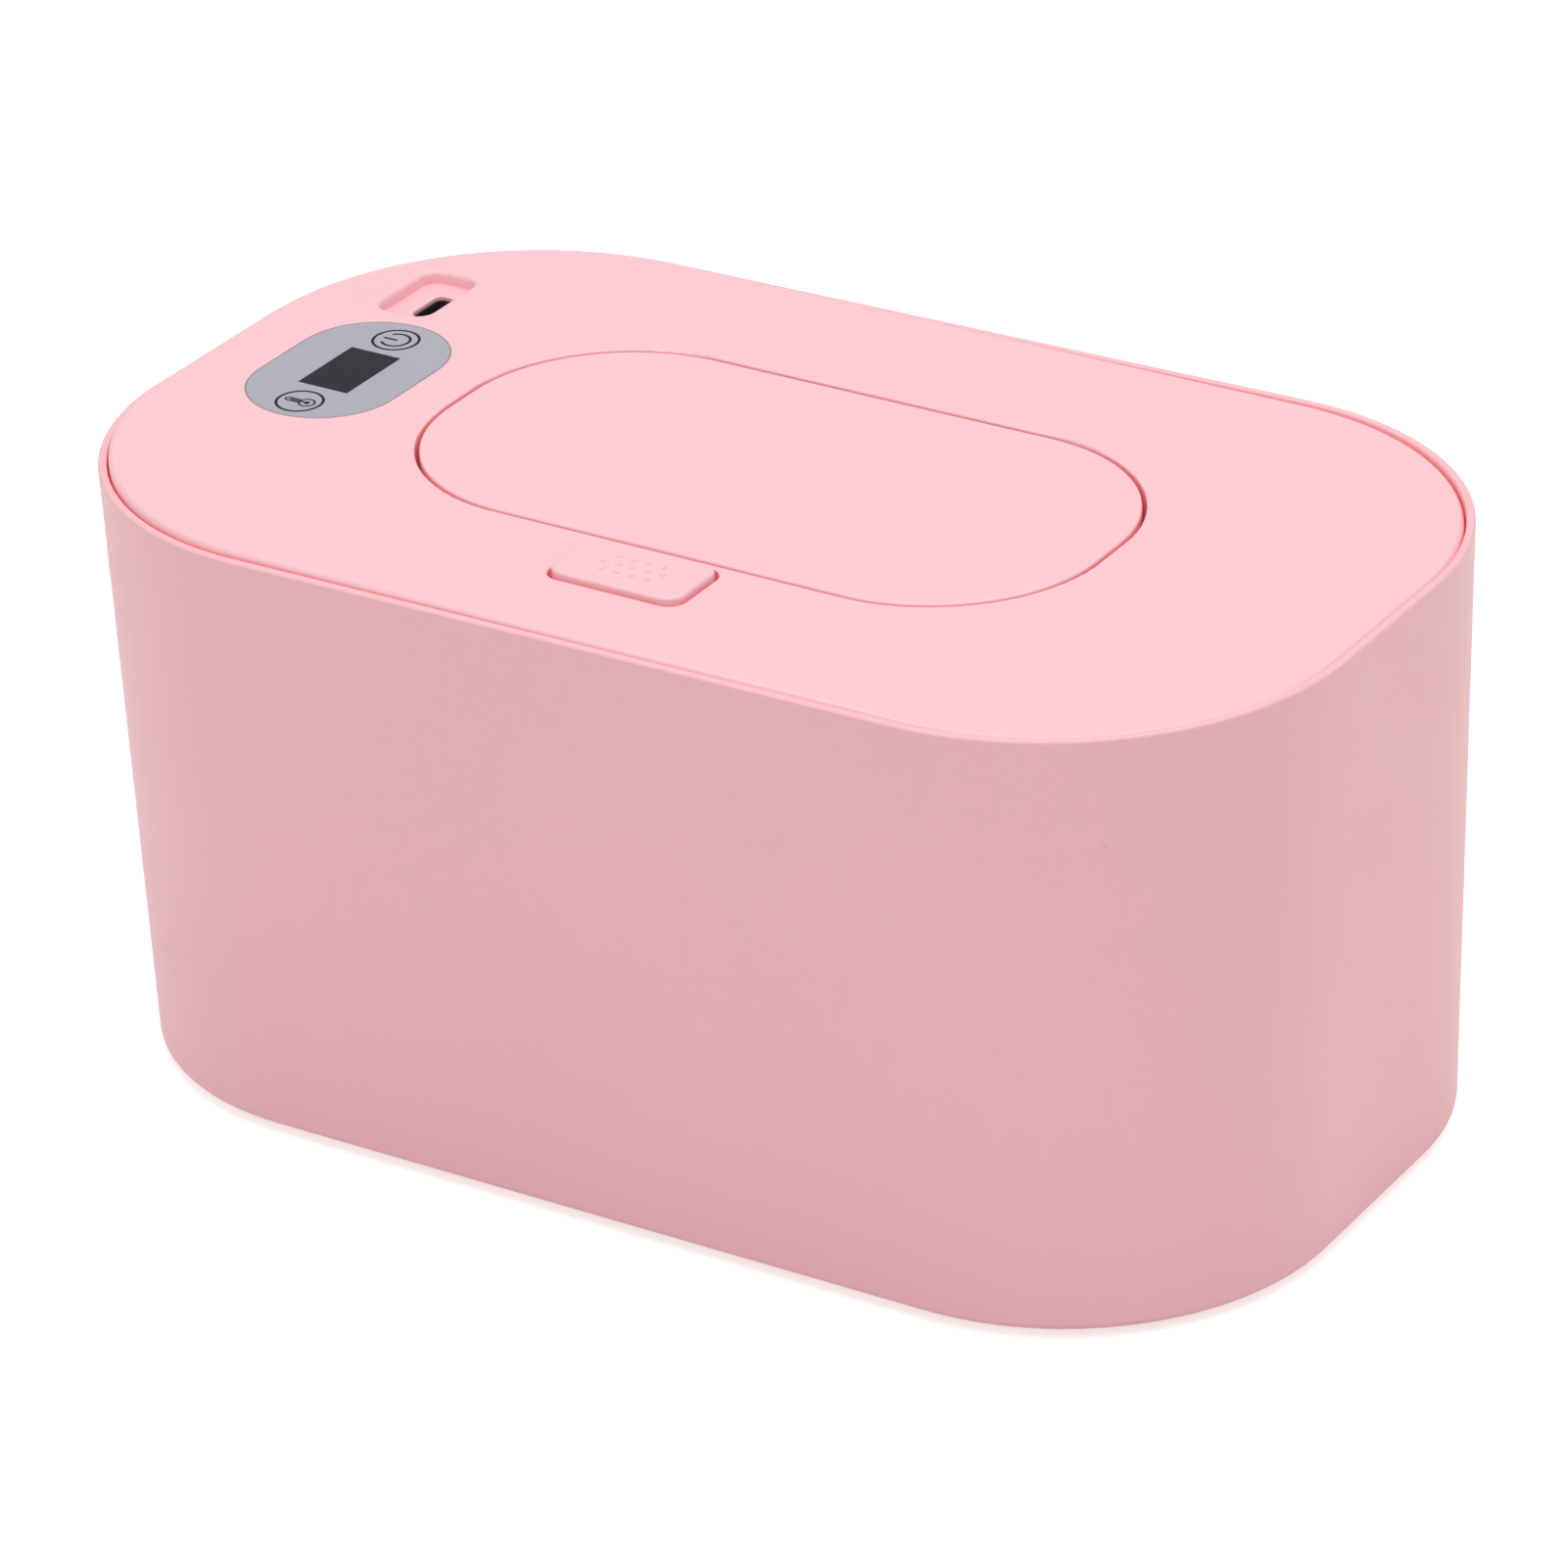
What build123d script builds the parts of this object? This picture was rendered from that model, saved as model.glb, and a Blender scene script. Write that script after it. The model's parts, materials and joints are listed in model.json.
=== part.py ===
from build123d import *
import math
import os

# Baby wipe warmer: a drafted tub, a lift-off heated cover, a flip lid and its release button.
#
# Millimetres. +X runs along the length, away from the control panel. +Y points to the hinge side.
# +Z is up. The origin is on the table, under the middle of the tub.
#
# Pieces of the cover are drawn in the cover's own frame: X and Y as above, and Z = 0 on its top
# face at mid length. on_cover() tilts that frame by the cover's slope and sets it in the tub.

# ---------------------------------------------------------------- driving dimensions
# Tub
tub_length = 210.0             # outside, at the rim
tub_width = 124.3              # outside, at the rim
tub_height = 98.3              # underside to rim
tub_end_flat = 28.7            # straight stretch between the two corners of an end
tub_base_inset_x = 2.96        # draft of each end wall, from rim to underside
tub_base_inset_y = 2.66        # draft of each side wall, from rim to underside
tub_base_corner_less = 4.1     # corner radius lost from rim to underside
tub_wall = 2.7
rim_wall = 1.4                 # thinner round the cover
rim_step_depth = 5.0           # down to the ledge where the full wall starts
tub_floor = 2.6
rim_round = 0.45
rim_inner_round = 0.3
base_round = 1.2
floor_round = 4.0

# Ribs inside the tub that carry the cover
rib_thickness = 2.0
rib_reach = 2.2                # how far a rib stands in from the wall
rib_pitch = 45.0               # spacing of the ribs along a side
rib_end_offset = 9.0           # each end rib from the middle
seat_depth = 14.5              # rim down to the rib tops

# Feet
foot_radius = 6.0
foot_stand = 1.5               # how far a foot raises the tub
foot_round = 0.5
foot_seat = 1.0                # how deep it is glued into the floor
foot_from_end = 25.0
foot_from_side = 20.0

# Cover shell
cover_gap = 0.3                # all round, to the tub's inner face at the rim
cover_rise = 0.43              # top face above the rim, at mid length
cover_slope = 0.516            # degrees, falling away from the control panel
cover_plate = 2.4              # thickness of the top
cover_round = 0.9
band_height = 4.0              # upper edge band, before the skirt steps in
skirt_step = 2.4
skirt_wall = 2.0

# Cover seal, a lip ring in a groove round the skirt
seal_depth = 9.0               # top face down to the groove
seal_height = 2.0
seal_root = 1.0                # let into the skirt
seal_lip = 0.75                # proud of the skirt

# Lid opening and the recess below it
opening_from_left = 44.75
opening_from_right = 45.75
opening_from_front = 30.2
opening_from_back = 28.2
opening_end_flat = 7.0
opening_round = 0.35
cup_wall = 1.25                # also the strip between the opening and the button
recess_depth = 7.5
recess_floor = 1.4
throat_from_end = 11.6         # throat edge from the opening's edge
throat_from_front = 9.75
throat_from_back = 8.25
throat_end_flat = 6.0
bead_width = 2.0               # sealing bead round the throat
bead_height = 1.5

# Silicone outlet under the throat
outlet_flange = 4.0            # clamped beyond the throat's edge
outlet_thickness = 1.2
outlet_slot_length = 66.0
outlet_slot_width = 9.0

# Flip lid
lid_gap = 0.7
lid_plate = 2.2
lid_edge = 1.6                 # full-size edge, before the skirt steps in
lid_skirt_step = 0.4
lid_skirt_depth = 4.4
lid_skirt_wall = 1.5
lid_round = 0.45
liner_thickness = 1.4
liner_gap = 0.1
liner_post_spacing = 70.0      # posts that hold the liner off the lid
liner_post_radius = 1.4
lid_seal_gap = 0.2             # seal to bead, relaxed
lid_seal_root = 0.6

# Hinge: two goose-neck arms turn on short pins under the cover plate, behind the opening
hinge_behind = 5.3             # pin axis behind the opening's edge
hinge_depth = 3.0              # pin axis below the top face
hinge_pin_radius = 0.5
hinge_bore_gap = 0.05
hub_radius = 1.3
arm_spacing = 40.0
arm_width = 5.0
arm_thickness = 1.4
arm_clearance = 0.28           # arm and lid to the opening's edge as they swing past it
arm_spoke_angle = -95.0        # degrees from forwards, at rest
arm_side_gap = 0.5
arm_swing_gap = 0.4
plate_over_hinge = 1.4
ear_thickness = 2.0
ear_radius = 1.9
spring_room = 3.0              # along the pin, beside each arm
lid_spring_radius = 1.05       # wire centre line
lid_spring_wire = 0.2          # wire radius
lid_spring_turns = 4
lid_spring_leg = 4.6

# Catch under the front of the lid
tongue_width = 10.0
tongue_thickness = 1.4
tongue_from_edge = 2.0         # behind the lid's front edge
tongue_depth = 11.2
barb_reach = 0.8
barb_height = 1.6
tongue_slot_gap = 0.9

# Release button
button_length = 22.8
button_width = 12.9
button_corner = 2.8
button_gap = 0.5
button_offset = -0.4           # from the middle of the opening
button_rise = 1.0
button_top = 1.8
button_wall = 1.2
button_depth = 4.6
button_round = 0.5
flange_reach = 1.0             # hooks that keep the button in, past the opening
flange_width = 8.0
flange_height = 1.2
flange_gap = 0.1
dot_pitch = 2.62
dot_radius = 0.45
dot_height = 0.2
dot_round = 0.18
stem_spacing = 12.0
stem_radius = 1.1
stem_length = 3.2
button_spring_radius = 1.65    # wire centre line
button_spring_wire = 0.25      # wire radius
button_spring_turns = 6
spring_cup_radius = 3.0
spring_cup_height = 2.0
spigot_length = 1.5
cam_width = 8.0
cam_thickness = 1.4
cam_gap = 0.3                  # under the recess, at rest
cam_toe = 0.8
cam_to_barb = 0.8

# Control panel
panel_from_left = 23.8         # panel centre from the cover's end
panel_offset = 1.4             # panel centre from the middle
panel_length = 25.0
panel_width = 37.3
panel_corner = 12.4
panel_thickness = 0.4
panel_gap = 0.1
display_length = 9.3
display_width = 14.8
display_shift_x = 0.25         # from the panel's centre
display_shift_y = -0.1
touch_back_y = 13.0            # icon centres from the panel's centre
touch_front_y = -13.0

# Plug pocket
pocket_shift_x = -5.7          # from the panel's centre
pocket_shift_y = 30.2
pocket_length = 9.6
pocket_width = 16.3
pocket_corner = 2.6
pocket_depth = 2.1
pocket_round = 0.9
pocket_floor = 0.8
socket_shift_x = 1.35          # from the pocket's centre
socket_shift_y = -0.45
socket_length = 2.5            # inside
socket_width = 7.5             # inside
socket_corner = 0.9
socket_wall = 0.35
socket_gap = 0.1               # shell to the slot in the pocket
socket_sink = 0.5              # mouth below the pocket's floor
socket_base = 1.0              # closed end on the board
socket_tongue = 0.7
tongue_recess = 1.0            # tongue's tip and sides inside the shell

# Control board
board_depth = 9.0              # top face of the cover down to the top of the board
board_thickness = 1.6
board_left = 14.5              # from the panel's centre
board_right = 16.5
board_front = 21.4
board_back = 38.6
board_chamfer_x = 8.0
board_chamfer_y = 10.0
board_screw_inset = 3.0
display_body_margin = 1.35
touch_spring_radius = 2.2
touch_spring_wire = 0.25
touch_spring_turns = 4
component_gap = 1.0            # between the parts that stand in a column on the board
component_bevel = 0.25
can_bevel = 0.5
chip_size = (6.0, 10.0, 1.7)
transistor_size = (6.5, 6.2, 2.3)
capacitor_radius = 2.5
capacitor_height = 5.4
buzzer_radius = 4.0
buzzer_height = 4.6
header_size = (6.0, 4.5, 4.0)
header_gap = 1.0               # between the headers, and to the board's edge
plug_size = (5.2, 4.0, 3.2)
plug_proud = 1.0               # how far a plug stands out of its header

# Screws
screw_radius = 1.0
thread_gap = 0.02              # shank to its hole, which is plain
screw_head_radius = 1.9
screw_head_height = 1.2
screw_head_round = 0.4
screw_slot = 0.5
screw_slot_depth = 0.6
boss_radius = 3.0
board_boss_radius = 2.2
screw_bite = 5.0
board_screw_bite = 4.0

# Heater housing, closed from above by the cover shell and open downwards round the plate
board_to_housing = 1.8         # board's underside to the housing's top, past the screw heads
housing_floor = 1.6
housing_wall = 1.6
housing_gap = 0.25             # to the skirt
housing_skirt = 6.4            # housing's top down to its lower edge
plate_screw_pilot = 1.2        # hole past the housing's underside
collar_gap = 1.0               # passage beyond the throat
boss_side_x = 38.0             # housing screws on the long sides
boss_side_margin = 14.45
boss_end_margin = 23.3
boss_end_y = 30.0
boss_left_margin = 31.3
boss_left_front_y = 36.0
boss_left_back_margin = 13.0
wire_port_radius = 3.4
wire_port_shift = (8.0, -30.0)  # from the panel's centre

# Heater stack
pad_thickness = 2.0
film_thickness = 0.3
film_inset = 3.0
plate_thickness = 1.0
plate_gap = 0.3
head_clearance = 0.5
plate_screw_x = 60.0
plate_screw_from_side = 17.1
plate_screw_from_end = 12.1
fuse_radius = 0.95
fuse_length = 6.0
fuse_gap = 1.2                 # from the outer lead
sensor_size = (3.0, 3.0, 1.6)
window_width = 9.0             # cut in the pad round the leads, sensor and fuse

# Leads
lead_radius = 0.6
lead_pitch = 1.5               # side by side in the port
lead_run = 4.0                 # straight out of the plug
lead_bend = 1.0

overrun = 1.0                  # how far cutters pass a face
tiny = 0.01

# ---------------------------------------------------------------- values that follow
rim_z = foot_stand + tub_height
seat_z = rim_z - seat_depth
tub_corner = (tub_width - tub_end_flat) / 2
base_length = tub_length - 2 * tub_base_inset_x
base_width = tub_width - 2 * tub_base_inset_y
base_corner = tub_corner - tub_base_corner_less

cover_inset = rim_wall + cover_gap
cover_length = tub_length - 2 * cover_inset
cover_width = tub_width - 2 * cover_inset
cover_corner = tub_corner - cover_inset
cover_place = Location((0, 0, rim_z + cover_rise), (0, cover_slope, 0))
# The sloping skirt is drawn long enough to be trimmed level everywhere on the seat.
skirt_reach = seat_depth + cover_rise + cover_length / 2 * math.tan(math.radians(cover_slope)) + overrun

opening_left = -cover_length / 2 + opening_from_left
opening_right = cover_length / 2 - opening_from_right
opening_front = -cover_width / 2 + opening_from_front
opening_back = cover_width / 2 - opening_from_back
opening_x = (opening_left + opening_right) / 2
recess_bottom = recess_depth + recess_floor

throat_left = opening_left + throat_from_end
throat_right = opening_right - throat_from_end
throat_front = opening_front + throat_from_front
throat_back = opening_back - throat_from_back
throat_y = (throat_front + throat_back) / 2
outlet_bottom = recess_bottom + outlet_thickness

hinge_y = opening_back + hinge_behind
swing_radius = math.hypot(hinge_behind, hinge_depth) + arm_clearance
arm_outer_radius = swing_radius + arm_thickness
arm_xs = [opening_x - arm_spacing / 2, opening_x + arm_spacing / 2]

button_x = opening_x + button_offset
button_y = opening_front - cup_wall - button_gap - button_width / 2

panel_x = -cover_length / 2 + panel_from_left
pocket_x = panel_x + pocket_shift_x
pocket_y = panel_offset + pocket_shift_y
socket_x = pocket_x + socket_shift_x
socket_y = pocket_y + socket_shift_y
socket_mouth = pocket_depth + socket_sink
board_bottom = board_depth + board_thickness

housing_depth = board_bottom + board_to_housing
housing_total = housing_depth + housing_skirt
housing_inset = skirt_step + skirt_wall + housing_gap
housing_underside = housing_depth + housing_floor
film_top = housing_underside + pad_thickness
plate_top = film_top + film_thickness
plate_bottom = plate_top + plate_thickness

boss_side_y = cover_width / 2 - boss_side_margin
boss_end_x = cover_length / 2 - boss_end_margin
boss_left_x = -cover_length / 2 + boss_left_margin
housing_screw_places = [
    (-boss_side_x, boss_side_y), (boss_side_x, boss_side_y),
    (-boss_side_x, -boss_side_y), (boss_side_x, -boss_side_y),
    (boss_end_x, boss_end_y), (boss_end_x, -boss_end_y),
    (boss_left_x, -boss_left_front_y),
    (boss_left_x, cover_width / 2 - boss_left_back_margin),
]
plate_screw_y = cover_width / 2 - plate_screw_from_side
plate_screw_end = cover_length / 2 - plate_screw_from_end
plate_screw_places = [
    (-plate_screw_x, plate_screw_y), (plate_screw_x, plate_screw_y),
    (-plate_screw_x, -plate_screw_y), (plate_screw_x, -plate_screw_y),
    (-plate_screw_end, 0), (plate_screw_end, 0),
]
port_x = panel_x + wire_port_shift[0]
port_y = panel_offset + wire_port_shift[1]
sensor_x = port_x - lead_pitch
fuse_low_x = port_x + 1.5 * lead_pitch + lead_radius + fuse_gap
board_low_x = panel_x - board_left
board_high_x = panel_x + board_right
board_low_y = panel_offset - board_front
board_high_y = panel_offset + board_back
component_x = board_high_x - transistor_size[0] / 2 - component_gap
buzzer_y = board_high_y - board_screw_inset - board_boss_radius - buzzer_radius - component_gap
capacitor_y = buzzer_y - buzzer_radius - capacitor_radius - component_gap
transistor_y = capacitor_y - capacitor_radius - transistor_size[1] / 2 - component_gap
chip_y = transistor_y - transistor_size[1] / 2 - chip_size[1] / 2 - component_gap
board_screw_places = [
    (board_low_x + board_screw_inset, board_low_y + board_screw_inset),
    (board_high_x - board_screw_inset, board_low_y + board_screw_inset),
    (board_high_x - board_screw_inset, board_high_y - board_screw_inset),
    (board_low_x + board_screw_inset, board_high_y - board_chamfer_y - board_screw_inset),
]


# ---------------------------------------------------------------- drawing helpers
def prism(outline, low, high):
    """Flat outline raised from one height to another."""
    return extrude(Pos(0, 0, low) * outline, high - low)


def rounded(left, right, front, back, corner, inset=0.0):
    """Rounded rectangle between four edges, drawn inset from them."""
    shape = RectangleRounded(right - left - 2 * inset, back - front - 2 * inset, corner - inset)
    return Pos((left + right) / 2, (front + back) / 2) * shape


def block(x, y, low, high, length, width):
    """Upright block centred on a point, from one height to another."""
    return prism(Pos(x, y) * Rectangle(length, width), low, high)


def post(x, y, low, high, radius):
    """Upright cylinder from one height to another."""
    return prism(Pos(x, y) * Circle(radius), low, high)


def rod(x_low, x_high, y, z, radius):
    """Cylinder along X between two ends."""
    return Pos(x_low, y, z) * extrude(Plane.YZ * Circle(radius), x_high - x_low)


def level_edges(part, height, left, right, front, back):
    """Edges that lie at a height and inside a rectangle."""
    def wanted(edge):
        box = edge.bounding_box()
        middle = edge.center()
        flat = abs(box.min.Z - height) < tiny and abs(box.max.Z - height) < tiny
        return flat and left < middle.X < right and front < middle.Y < back
    return part.edges().filter_by(wanted)


def joined(parts):
    """Separate solids kept side by side in one node."""
    solids = []
    for part in parts:
        solids.extend(part.solids())
    return Compound(children=solids)


def on_cover(part):
    """Set a piece drawn in the cover's frame in its place in the tub."""
    return cover_place * part


def tub_outline(height, inset):
    """Outline of the tub at a height above its underside, drawn inset from the outer face."""
    share = height / tub_height
    length = base_length + share * (tub_length - base_length) - 2 * inset
    width = base_width + share * (tub_width - base_width) - 2 * inset
    corner = base_corner + share * (tub_corner - base_corner) - inset
    return Pos(0, 0, foot_stand + height) * RectangleRounded(length, width, corner)


def tub_block(low, high, inset):
    """Drafted block between two heights above the tub's underside."""
    return loft([tub_outline(low, inset), tub_outline(high, inset)], ruled=True)


def cover_outline(inset):
    """Outline of the cover, drawn inset from its edge."""
    return RectangleRounded(cover_length - 2 * inset, cover_width - 2 * inset, cover_corner - inset)


def opening_outline(inset):
    """Outline of the lid's opening, drawn inset from its edge."""
    corner = (opening_back - opening_front - opening_end_flat) / 2
    return rounded(opening_left, opening_right, opening_front, opening_back, corner, inset)


def throat_outline(inset):
    """Outline of the throat that the wipes are drawn through."""
    corner = (throat_back - throat_front - throat_end_flat) / 2
    return rounded(throat_left, throat_right, throat_front, throat_back, corner, inset)


def button_outline(grow):
    """Outline of the button, grown by a distance with the same corners."""
    shape = RectangleRounded(button_length + 2 * grow, button_width + 2 * grow, button_corner)
    return Pos(button_x, button_y) * shape


def panel_outline(inset):
    """Outline of the control panel."""
    shape = RectangleRounded(panel_length - 2 * inset, panel_width - 2 * inset, panel_corner - inset)
    return Pos(panel_x, panel_offset) * shape


def display_outline(inset):
    """Outline of the display window."""
    shape = Rectangle(display_length - 2 * inset, display_width - 2 * inset)
    return Pos(panel_x + display_shift_x, panel_offset + display_shift_y) * shape


def socket_outline(grow):
    """Outline of the low-voltage socket's mouth, grown by a distance."""
    shape = RectangleRounded(socket_length + 2 * grow, socket_width + 2 * grow, socket_corner + grow)
    return Pos(socket_x, socket_y) * shape


def board_outline():
    """Outline of the control board, with one corner cut to follow the cover."""
    return make_face(Polyline(
        (board_low_x, board_low_y),
        (board_high_x, board_low_y),
        (board_high_x, board_high_y),
        (board_low_x + board_chamfer_x, board_high_y),
        (board_low_x, board_high_y - board_chamfer_y),
        close=True,
    ))


def pan_head_screw(x, y, seat, length):
    """Self-tapping screw driven upwards, its head under a face, with a slot in the head."""
    head = post(x, y, seat - screw_head_height, seat, screw_head_radius)
    head = fillet(head.edges().group_by(Axis.Z)[0], screw_head_round)
    slot_low = seat - screw_head_height
    head -= block(x, y, slot_low, slot_low + screw_slot_depth, 2 * screw_head_radius, screw_slot)
    return head + post(x, y, seat, seat + length, screw_radius - thread_gap)


def coil(radius, wire, turns, low, high):
    """Helical spring with its wire's outside between two heights."""
    height = high - low - 2 * wire
    path = Helix(pitch=height / turns, height=height, radius=radius)
    section = Plane(path @ 0, z_dir=path % 0) * Circle(wire)
    return Pos(0, 0, low + wire) * sweep(section, path=path)


# ---------------------------------------------------------------- tub and feet
def foot_places():
    """Centres of the four feet."""
    x = base_length / 2 - foot_from_end
    y = base_width / 2 - foot_from_side
    return [(side_x * x, side_y * y) for side_x in (-1, 1) for side_y in (-1, 1)]


def make_seat_ribs():
    """Upright ribs on the tub's inner face whose tops carry the cover."""
    rib_height = tub_height - seat_depth
    band = tub_block(tub_floor / 2, rib_height, tub_wall / 2)
    band -= tub_block(0, rib_height + overrun, tub_wall + rib_reach)
    low, high = foot_stand, seat_z
    blades = [block(0, 0, low, high, rib_thickness, tub_width)]
    for side in (-1, 1):
        blades.append(block(side * rib_pitch, 0, low, high, rib_thickness, tub_width))
        blades.append(block(0, side * rib_end_offset, low, high, tub_length, rib_thickness))
    corner_x = tub_length / 2 - tub_corner
    corner_y = tub_width / 2 - tub_corner
    for angle in (45, 135, 225, 315):
        centre = (
            math.copysign(corner_x, math.cos(math.radians(angle))),
            math.copysign(corner_y, math.sin(math.radians(angle))),
        )
        blade = block(tub_corner, 0, low, high, tub_corner, rib_thickness)
        blades.append(Pos(*centre) * Rot(0, 0, angle) * blade)
    return [band & blade for blade in blades]


def make_tub():
    """Drafted single-wall tub with seat ribs and four foot sockets."""
    outside = tub_block(0, tub_height, 0)
    outside = fillet(outside.edges().group_by(Axis.Z)[-1], rim_round)
    outside = fillet(outside.edges().group_by(Axis.Z)[0], base_round)
    cavity = tub_block(tub_floor, tub_height + overrun, tub_wall)
    cavity = fillet(cavity.edges().group_by(Axis.Z)[0], floor_round)
    tub = outside - cavity
    tub -= tub_block(tub_height - rim_step_depth, tub_height + overrun, rim_wall)
    rim = tub.faces().filter_by(Plane.XY).sort_by(Axis.Z)[-1]
    tub = fillet(rim.inner_wires()[0].edges(), rim_inner_round)
    for rib in make_seat_ribs():
        tub += rib
    for x, y in foot_places():
        tub -= post(x, y, foot_stand - overrun, foot_stand + foot_seat, foot_radius)
    return tub


def make_feet():
    """Four soft feet glued into the floor."""
    feet = []
    for x, y in foot_places():
        foot = post(x, y, 0, foot_stand + foot_seat, foot_radius)
        feet.append(fillet(foot.edges().group_by(Axis.Z)[0], foot_round))
    return joined(feet)


# ---------------------------------------------------------------- cover shell
def make_cover_block():
    """Edge band and skirt, hollowed from below, with the seal's groove."""
    band = prism(cover_outline(0), -band_height, 0)
    band = fillet(band.edges().group_by(Axis.Z)[-1], cover_round)
    skirt = prism(cover_outline(skirt_step), -skirt_reach, -band_height)
    hollow = prism(cover_outline(skirt_step + skirt_wall), -skirt_reach - overrun, -cover_plate)
    groove = prism(cover_outline(-overrun), -seal_depth - seal_height, -seal_depth)
    groove -= prism(cover_outline(skirt_step + seal_root), -seal_depth - seal_height, -seal_depth)
    return band + skirt - hollow - groove


def cut_recess(shell):
    """Recess that the lid closes, with the throat, its sealing bead and the catch's slot."""
    shell += prism(opening_outline(-cup_wall), -recess_bottom, -cover_plate / 2)
    shell -= prism(opening_outline(0), -recess_depth, overrun)
    shell += prism(throat_outline(-bead_width), -recess_depth, -recess_depth + bead_height)
    shell -= prism(throat_outline(0), -recess_bottom - overrun, 0)
    slot_front = opening_front + lid_gap + tongue_from_edge - barb_reach - tongue_slot_gap
    slot_back = opening_front + lid_gap + tongue_from_edge + tongue_thickness + tongue_slot_gap
    slot = rounded(button_x - tongue_width / 2 - tongue_slot_gap,
                   button_x + tongue_width / 2 + tongue_slot_gap,
                   slot_front, slot_back, tongue_slot_gap / 2)
    shell -= prism(slot, -recess_bottom - overrun, -recess_depth + overrun)
    edges = level_edges(shell, 0, opening_left - tiny, opening_right + tiny,
                        opening_front - tiny, opening_back + tiny)
    return fillet(edges, opening_round)


def cut_button_opening(shell):
    """Opening for the release button."""
    shell -= prism(button_outline(button_gap), -cover_plate - overrun, overrun)
    reach_x = button_length / 2 + button_gap + tiny
    reach_y = button_width / 2 + button_gap + tiny
    edges = level_edges(shell, 0, button_x - reach_x, button_x + reach_x,
                        button_y - reach_y, button_y + reach_y)
    return fillet(edges, opening_round / 2)


def cut_panel(shell):
    """Seat for the panel film, the display's window and the plug pocket with its socket slot."""
    shell -= prism(panel_outline(-panel_gap), -panel_thickness, overrun)
    shell -= prism(display_outline(-panel_gap), -cover_plate - overrun, 0)
    shell += block(pocket_x, pocket_y, -pocket_depth - pocket_floor, -cover_plate / 2,
                   pocket_length + 2 * pocket_floor, pocket_width + 2 * pocket_floor)
    pocket = RectangleRounded(pocket_length, pocket_width, pocket_corner)
    shell -= Pos(pocket_x, pocket_y) * prism(pocket, -pocket_depth, overrun)
    half_x = pocket_length / 2 + tiny
    half_y = pocket_width / 2 + tiny
    edges = level_edges(shell, 0, pocket_x - half_x, pocket_x + half_x,
                        pocket_y - half_y, pocket_y + half_y)
    shell = fillet(edges, pocket_round)
    slot = socket_outline(socket_wall + socket_gap)
    return shell - prism(slot, -pocket_depth - pocket_floor - overrun, overrun)


def add_bosses(shell):
    """Screw bosses for the housing and for the control board."""
    for x, y in housing_screw_places:
        shell += post(x, y, -housing_depth, -cover_plate / 2, boss_radius)
        shell -= post(x, y, -housing_depth - tiny, -housing_depth + screw_bite + overrun, screw_radius)
    for x, y in board_screw_places:
        shell += post(x, y, -board_depth, -cover_plate / 2, board_boss_radius)
        shell -= post(x, y, -board_depth - tiny, -board_depth + screw_bite, screw_radius)
    return shell


def ear_ranges(arm_x):
    """Stretch along X of the inner and outer ear beside one arm, inner first."""
    side = math.copysign(1, arm_x - opening_x)
    outer_face = arm_x + side * (arm_width / 2 + arm_side_gap)
    inner_face = arm_x - side * (arm_width / 2 + arm_side_gap + spring_room)
    inner = sorted((inner_face, inner_face - side * ear_thickness))
    outer = sorted((outer_face, outer_face + side * ear_thickness))
    return inner, outer


def add_hinge_ears(shell):
    """Ears that hold the hinge pins, and the room that the arms need to swing."""
    front = hinge_y - arm_outer_radius - arm_swing_gap
    back = hinge_y + ear_radius + arm_swing_gap
    bottom = -hinge_depth - arm_outer_radius - arm_swing_gap
    for arm_x in arm_xs:
        inner, outer = ear_ranges(arm_x)
        low = min(inner[1], outer[1])
        high = max(inner[0], outer[0])
        shell -= block((low + high) / 2, (opening_back + back) / 2, -recess_depth, -plate_over_hinge,
                       high - low, back - opening_back)
        shell -= block(arm_x, (front + back) / 2, bottom, -plate_over_hinge,
                       arm_width + 2 * arm_side_gap, back - front)
        for ear in (inner, outer):
            body = rod(ear[0], ear[1], hinge_y, -hinge_depth, ear_radius)
            body += block((ear[0] + ear[1]) / 2, hinge_y, -hinge_depth, -cover_plate / 2,
                          ear_thickness, 2 * ear_radius)
            shell += body - rod(ear[0], ear[1], hinge_y, -hinge_depth, hinge_pin_radius)
    return shell


def make_cover_shell():
    """Cover shell in its place, its skirt trimmed level where it sits on the ribs."""
    shell = make_cover_block()
    shell = cut_recess(shell)
    shell = cut_button_opening(shell)
    shell = add_bosses(shell)
    shell = cut_panel(shell)
    shell = add_hinge_ears(shell)
    below_seat = block(0, 0, seat_z - tub_height, seat_z, 2 * tub_length, 2 * tub_width)
    return on_cover(shell) - below_seat


def make_cover_seal():
    """Soft lip ring in the groove of the skirt."""
    low, high = -seal_depth - seal_height, -seal_depth
    ring = prism(cover_outline(skirt_step - seal_lip), low, high)
    return on_cover(ring - prism(cover_outline(skirt_step + seal_root), low, high))


def make_hinge_pins():
    """Two short steel pins, each through two ears and one arm."""
    pins = []
    for arm_x in arm_xs:
        inner, outer = ear_ranges(arm_x)
        low = min(inner[0], outer[0])
        high = max(inner[1], outer[1])
        pins.append(rod(low, high, hinge_y, -hinge_depth, hinge_pin_radius))
    return on_cover(joined(pins))


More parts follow.
